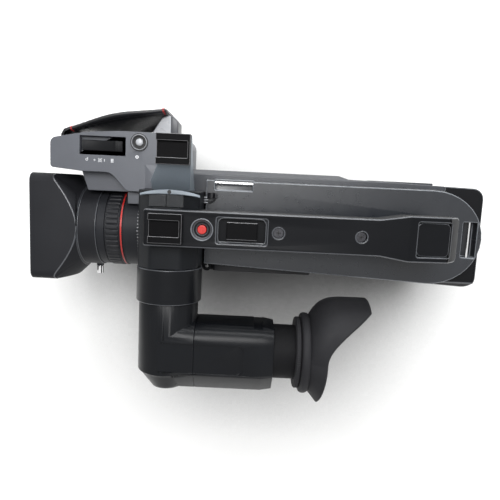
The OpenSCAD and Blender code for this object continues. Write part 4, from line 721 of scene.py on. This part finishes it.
# near-black rings in and round the button's well: painted shade; the thin grey ring on them: a painted
# highlight of the rim
wellShadeParts = [flatRing(*ph["wellR"], *ph["wellZ"], photoSpot), flatRing(*ph["rimR"], *ph["rimZ"], photoSpot)]
makePiece("photoWellShade", *joined(wellShadeParts), paintedShadeBlack, "camcorder", "grip_grey")
makePiece("photoRingHighlight", *hoop((ph["x"], ph["y"], ph["lineZ"]), ph["lineR"], ph["line"]),
          anchorGrey, "camcorder", "grip_grey")

rocker = dict(x0=-157.4, x1=-120.6, y0=60.8, y1=70.4, z0=143.4, heel=146.3, foot=(-142.0, -136.0),
              top=149.1, dip=1.3, ridge=-126.5, ridgeRise=0.85, ridgeHalf=1.5, edge=0.7, steps=48)
rk = rocker
# the top line: a sine dip up to the ridge, and a bell curve for the ridge
x = np.linspace(rk["x0"], rk["x1"], rk["steps"])
dipStart, dipEnd = rk["x0"] - 0.6, rk["ridge"] - 2 * rk["ridgeHalf"]
way = np.clip((x - dipStart) / (dipEnd - dipStart), 0, 1)
ridge = rk["ridgeRise"] * np.exp(-((x - rk["ridge"]) / rk["ridgeHalf"]) ** 2)
topLine = rk["top"] - rk["dip"] * np.sin(np.pi * way) + ridge
underside = [(rk["x0"], rk["heel"]), *[(foot, rk["z0"]) for foot in rk["foot"]], (rk["x1"], rk["heel"])]
rockerLoop = np.concatenate([np.stack([x, topLine], -1)[::-1], underside])
makePiece("gripRockerCap", *softPrism(rockerLoop, rk["y0"], rk["y1"], rk["edge"], axis="y", both=True),
          caseBlack, "grip_rocker", "grip_grey", replaced=["grip_rocker"], smooth=50)

# plain shapes in a row beside the rocker, as rings (inner, outer radius, x, y) and bars (x, y of the near
# corner, width, depth): a ring with a stroke, a cross, a ring with four dots, a bar, a grid, and a ring
# under the photo button. Places along Y are from the row's own line.
icons = dict(
    y=52.5, z=(gripTop - 0.05, gripTop + 0.06), edge=0.02, sides=32, sunX=-141.2, sunR=2.1, dot=0.6,
    rings=[(0.75, 1.15, -153.3, 0.2), (0.8, 1.3, -141.2, 0.0), (0.7, 1.5, -107.3, 4.4)],
    bars=[(-152.7, 0.8, 0.5, 1.4), (-147.2, -0.25, 2.0, 0.5), (-146.45, -1.0, 0.5, 2.0),
          (-137.4, -1.1, 0.5, 2.2)],
    gridX=(-131.2, -129.9), gridY=(-1.65, -0.45, 0.75), cell=(1.0, 0.9))
ic = icons
bars = list(ic["bars"])
bars += [(gx, gy, *ic["cell"]) for gx in ic["gridX"] for gy in ic["gridY"]]
for q in np.radians([45, 135, 225, 315]):
    bars.append((ic["sunX"] + ic["sunR"] * math.cos(q) - ic["dot"] / 2,
                 ic["sunR"] * math.sin(q) - ic["dot"] / 2, ic["dot"], ic["dot"]))
iconParts = []
for inner, outer, x, y in ic["rings"]:
    iconParts.append(flatRing(inner, outer, *ic["z"], (x, ic["y"] + y, 0), sides=ic["sides"]))
for x, y, w, h in bars:
    iconParts.append(block(x, x + w, ic["y"] + y, ic["y"] + y + h, *ic["z"], edge=ic["edge"]))
makePiece("gripIcons", *joined(iconParts), whiteMark, "camcorder", "grip_grey")
print("grip controls made")


# Tower and deck trim

brow = dict(x=-66.0, half=24.0, low=(24.0, 1.8), high=(25.8, 3.8), z=(206.8, 208.9), edge=0.5, steps=24,
            hole=(-66.5, 27.6, 0), holeR=1.6, holeZ=(208.3, 208.96))


def browOutline():
    # two parabolas y + arch (1 - t^2) over the same span, the upper one more arched than the lower
    t = np.linspace(-1, 1, brow["steps"])
    x = brow["x"] + brow["half"] * t
    lower, upper = [np.stack([x, y + arch * (1 - t ** 2)], -1) for y, arch in (brow["low"], brow["high"])]
    return np.concatenate([lower, upper[::-1]])


holeLow, holeHigh = brow["holeZ"]
holeProfile = [(holeLow, 0.0), (holeLow, brow["holeR"]), (holeHigh, brow["holeR"]), (holeHigh, 0.0)]
deckTrim = dict(
    # a thin plate over the notch in the grip shell's top: x, y and z from and to
    patch=(-99.5, -83.0, 28.9, 50.0, 146.5, 148.04), patchEdge=0.04,
    ribX=(-43.4, -39.6), ribY=(18.5, 20.7, 22.9), ribW=1.1, ribZ=(158.6, 163.0), ribEdge=0.3,
    # the tongue of the cable clip, as a bent wire
    tongue=[(-42.0, 18.2, 161.2), (-40.0, 19.4, 161.6), (-37.5, 19.2, 161.6), (-35.0, 20.4, 161.8),
            (-33.6, 22.6, 162.0)],
    tongueR=0.9, shadePlate=(-34.0, 0.0, 30.6, 38.4, 148.1, 148.9))
dt = deckTrim
makePiece("gripPatch", *block(*dt["patch"], edge=dt["patchEdge"]), gripGrey, "camcorder", "grip_grey")
makePiece("towerBrow", *softPrism(browOutline(), *brow["z"], brow["edge"]),
          armGrey, "camcorder", "tower_grey")
# a near-black disc in the brow's hole: painted shade inside it
makePiece("browHole", *spun(holeProfile, 32, brow["hole"], "z"), paintedShadeBlack, "camcorder", "tower_grey")
deckRibs = [block(*dt["ribX"], y, y + dt["ribW"], *dt["ribZ"], edge=dt["ribEdge"]) for y in dt["ribY"]]
makePiece("deckRibs", *joined(deckRibs), anchorGrey, "camcorder", "deck_satin")
makePiece("clipTongue", *tubeAlong(dt["tongue"], dt["tongueR"], 12), plainBlack, "camcorder", "plain_black")
# a near-black plate down in the slot: painted shade of its inside
makePiece("slotShade", *block(*dt["shadePlate"]), paintedShadeBlack, "camcorder", "deck_satin")
print("tower and deck trim made")


# Handle trim: rims of the record button, the rocker's pocket, the screws and the rear cover; their lighter
# colour is a painted highlight

handleTrim = dict(
    lineZ=223.95, recordX=-38.0, recordR=8.4, recordLine=0.42,
    pocketX=-7.0, pocket=(37.5, 20.5, 5.0), pocketLine=0.34,
    screwX=(21.5, 86.0), screwR=4.5, screwLine=0.22, recess=2.1, recessHalf=0.45, recessZ=(221.4, 221.6),
    coverX=143.0, cover=(27.6, 28.0, 1.6), coverLine=0.3, coverZ=220.1)
ht = handleTrim


def rimAlong(size, steps, x, z, line, sides):
    # a thin tube along a rounded rectangle
    loop = roundedLoop(*size, steps)
    path = np.column_stack([loop[:, 0] + x, loop[:, 1], np.full(len(loop), z)])
    return tubeAlong(path, line, sides, closed=True)


# each rim is a thin raised tube whose lighter colour is a painted highlight
makePiece("recordRim", *hoop((ht["recordX"], 0, ht["lineZ"]), ht["recordR"], ht["recordLine"]),
          paintedHighlightPale, "camcorder", "handle_black")
makePiece("rockerPocketRim", *rimAlong(ht["pocket"], 10, ht["pocketX"], ht["lineZ"], ht["pocketLine"], 10),
          paintedHighlightEdge, "camcorder", "handle_black")
screwParts, crossShadeParts = [], []
for sx in ht["screwX"]:
    screwParts.append(hoop((sx, 0, ht["lineZ"]), ht["screwR"], ht["screwLine"]))
    # a near-black cross laid on each screw head: painted shade of its cross recess
    for w, h in ((ht["recess"], ht["recessHalf"]), (ht["recessHalf"], ht["recess"])):
        crossShadeParts.append(block(sx - w, sx + w, -h, h, *ht["recessZ"], edge=0.05))
makePiece("screwRims", *joined(screwParts), paintedHighlightEdge, "camcorder", "handle_black")
makePiece("screwCrossShade", *joined(crossShadeParts), paintedShadeBlack, "camcorder", "screw_black")
makePiece("coverRim", *rimAlong(ht["cover"], 6, ht["coverX"], ht["coverZ"], ht["coverLine"], 8),
          paintedHighlightEdge, "camcorder", "handle_black")
print("handle trim made")


# Camera, light and floor

view = dict(place=(0.0, 0.0346, 0.594), lens=34.56, sensor=36, near=0.01, tilt=math.atan(63 / 480),
            roll=math.radians(2.7))
cameraData = bpy.data.cameras.new("overhead")
cameraData.lens = view["lens"]
cameraData.sensor_width = view["sensor"]
cameraData.clip_start = view["near"]
camera = bpy.data.objects.new("overhead", cameraData)
scene.collection.objects.link(camera)
t, k = view["tilt"], view["roll"]
forward = Vector((0, -math.sin(t), -math.cos(t)))
up, right = Vector((0, math.cos(t), -math.sin(t))), Vector((1, 0, 0))
across = math.cos(k) * right + math.sin(k) * up
above = -math.sin(k) * right + math.cos(k) * up
turn = Matrix((across, above, -forward)).transposed()
camera.matrix_world = Matrix.Translation(view["place"]) @ turn.to_4x4()
scene.camera = camera

lamps = {
    "overFront": dict(place=(-0.04, 0.42, 1.30), aim=(0.0, 0.0, 0.1), size=(0.66, 0.55), power=14.0,
                      colour=(1, 1, 1)),
    "gripSide": dict(place=(0.25, 1.3, 0.65), aim=(0.0, 0.0, 0.1), size=(1.4, 0.5), power=19.0,
                     colour=(0.97, 0.99, 1)),
    "eyeSide": dict(place=(0.5, -1.2, 0.9), aim=(0.05, -0.05, 0.12), size=(0.8, 0.6), power=3.5,
                    colour=(1, 1, 1)),
}
for name, lamp in lamps.items():
    data = bpy.data.lights.new(name, "AREA")
    data.shape = "RECTANGLE"
    data.size, data.size_y = lamp["size"]
    data.energy = lamp["power"]
    data.color = lamp["colour"]
    obj = bpy.data.objects.new(name, data)
    scene.collection.objects.link(obj)
    aim = (Vector(lamp["aim"]) - Vector(lamp["place"])).to_track_quat("-Z", "Y")
    obj.matrix_world = Matrix.Translation(lamp["place"]) @ aim.to_matrix().to_4x4()

world = bpy.data.worlds.new("studio")
world.use_nodes = True
scene.world = world
air = world.node_tree
background = air.nodes["Background"]
# dimmer overhead than at the horizon, and dimmer from the eyepiece's side than from the grip's
generated = addNode(air, "ShaderNodeTexCoord").outputs["Generated"]
sky = addNode(air, "ShaderNodeSeparateXYZ", {"Vector": generated})
byHeight = ramped(air, sky.outputs["Z"], 0.35, 0.95, 0.50, 0.13)
bySide = ramped(air, sky.outputs["Y"], -1, 1, 0.35, 1.65)
lit = addNode(air, "ShaderNodeMix", data_type="FLOAT")
air.links.new(viewRays(air), lit.inputs[0])
air.links.new(mathNode(air, "MULTIPLY", byHeight, bySide), lit.inputs[2])
lit.inputs[3].default_value = 1.0
air.links.new(lit.outputs[0], background.inputs["Strength"])
background.inputs["Color"].default_value = (1, 1, 1, 1)

floorMat, floorTree, floorShader = startMaterial("paleFloor")
mottle = addNode(floorTree, "ShaderNodeTexNoise", {"Vector": objectPlace(floorTree), "Scale": 3.0})
# how much of the air towards the bright side is open; by it the floor's colour and glow darken near the
# object as a painted shadow
leaning = addNode(floorTree, "ShaderNodeCombineXYZ", {"X": -0.12, "Y": 0.55, "Z": 0.83})
openAir = addNode(floorTree, "ShaderNodeAmbientOcclusion", {
    "Normal": leaning.outputs[0], "Distance": 0.34}, samples=24)
# the painted shadow's strength: 0.03 where the air is shut, 1 where it is open
shade = ramped(floorTree, openAir.outputs["AO"], 0.42, 0.99, 0.03, 1.0)
pale = tint(floorTree, mottle.outputs["Fac"], (0.80, 0.80, 0.79), (0.83, 0.83, 0.82))
floorTree.links.new(tint(floorTree, shade, (0.10, 0.10, 0.10), pale), floorShader.inputs["Base Color"])
floorShader.inputs["Roughness"].default_value = 0.9
glow = addNode(floorTree, "ShaderNodeEmission", {"Color": (1, 1, 1, 1)})
floorSeen = ramped(floorTree, viewRays(floorTree), 0, 1, 0.0, 0.55)
floorTree.links.new(mathNode(floorTree, "MULTIPLY", floorSeen, shade), glow.inputs["Strength"])
both = addNode(floorTree, "ShaderNodeAddShader")
floorTree.links.new(floorShader.outputs[0], both.inputs[0])
floorTree.links.new(glow.outputs[0], both.inputs[1])
floorTree.links.new(both.outputs[0], floorTree.nodes["Material Output"].inputs["Surface"])
floorMesh = bpy.data.meshes.new("floor")
half = 4.0
corners = [(-half, -half, 0), (half, -half, 0), (half, half, 0), (-half, half, 0)]
floorMesh.from_pydata(corners, [], [(0, 1, 2, 3)])
floorMesh.materials.append(floorMat)
floor = bpy.data.objects.new("floor", floorMesh)
scene.collection.objects.link(floor)
scene.view_settings.view_transform = "Standard"
print("camera, lamps and floor set")
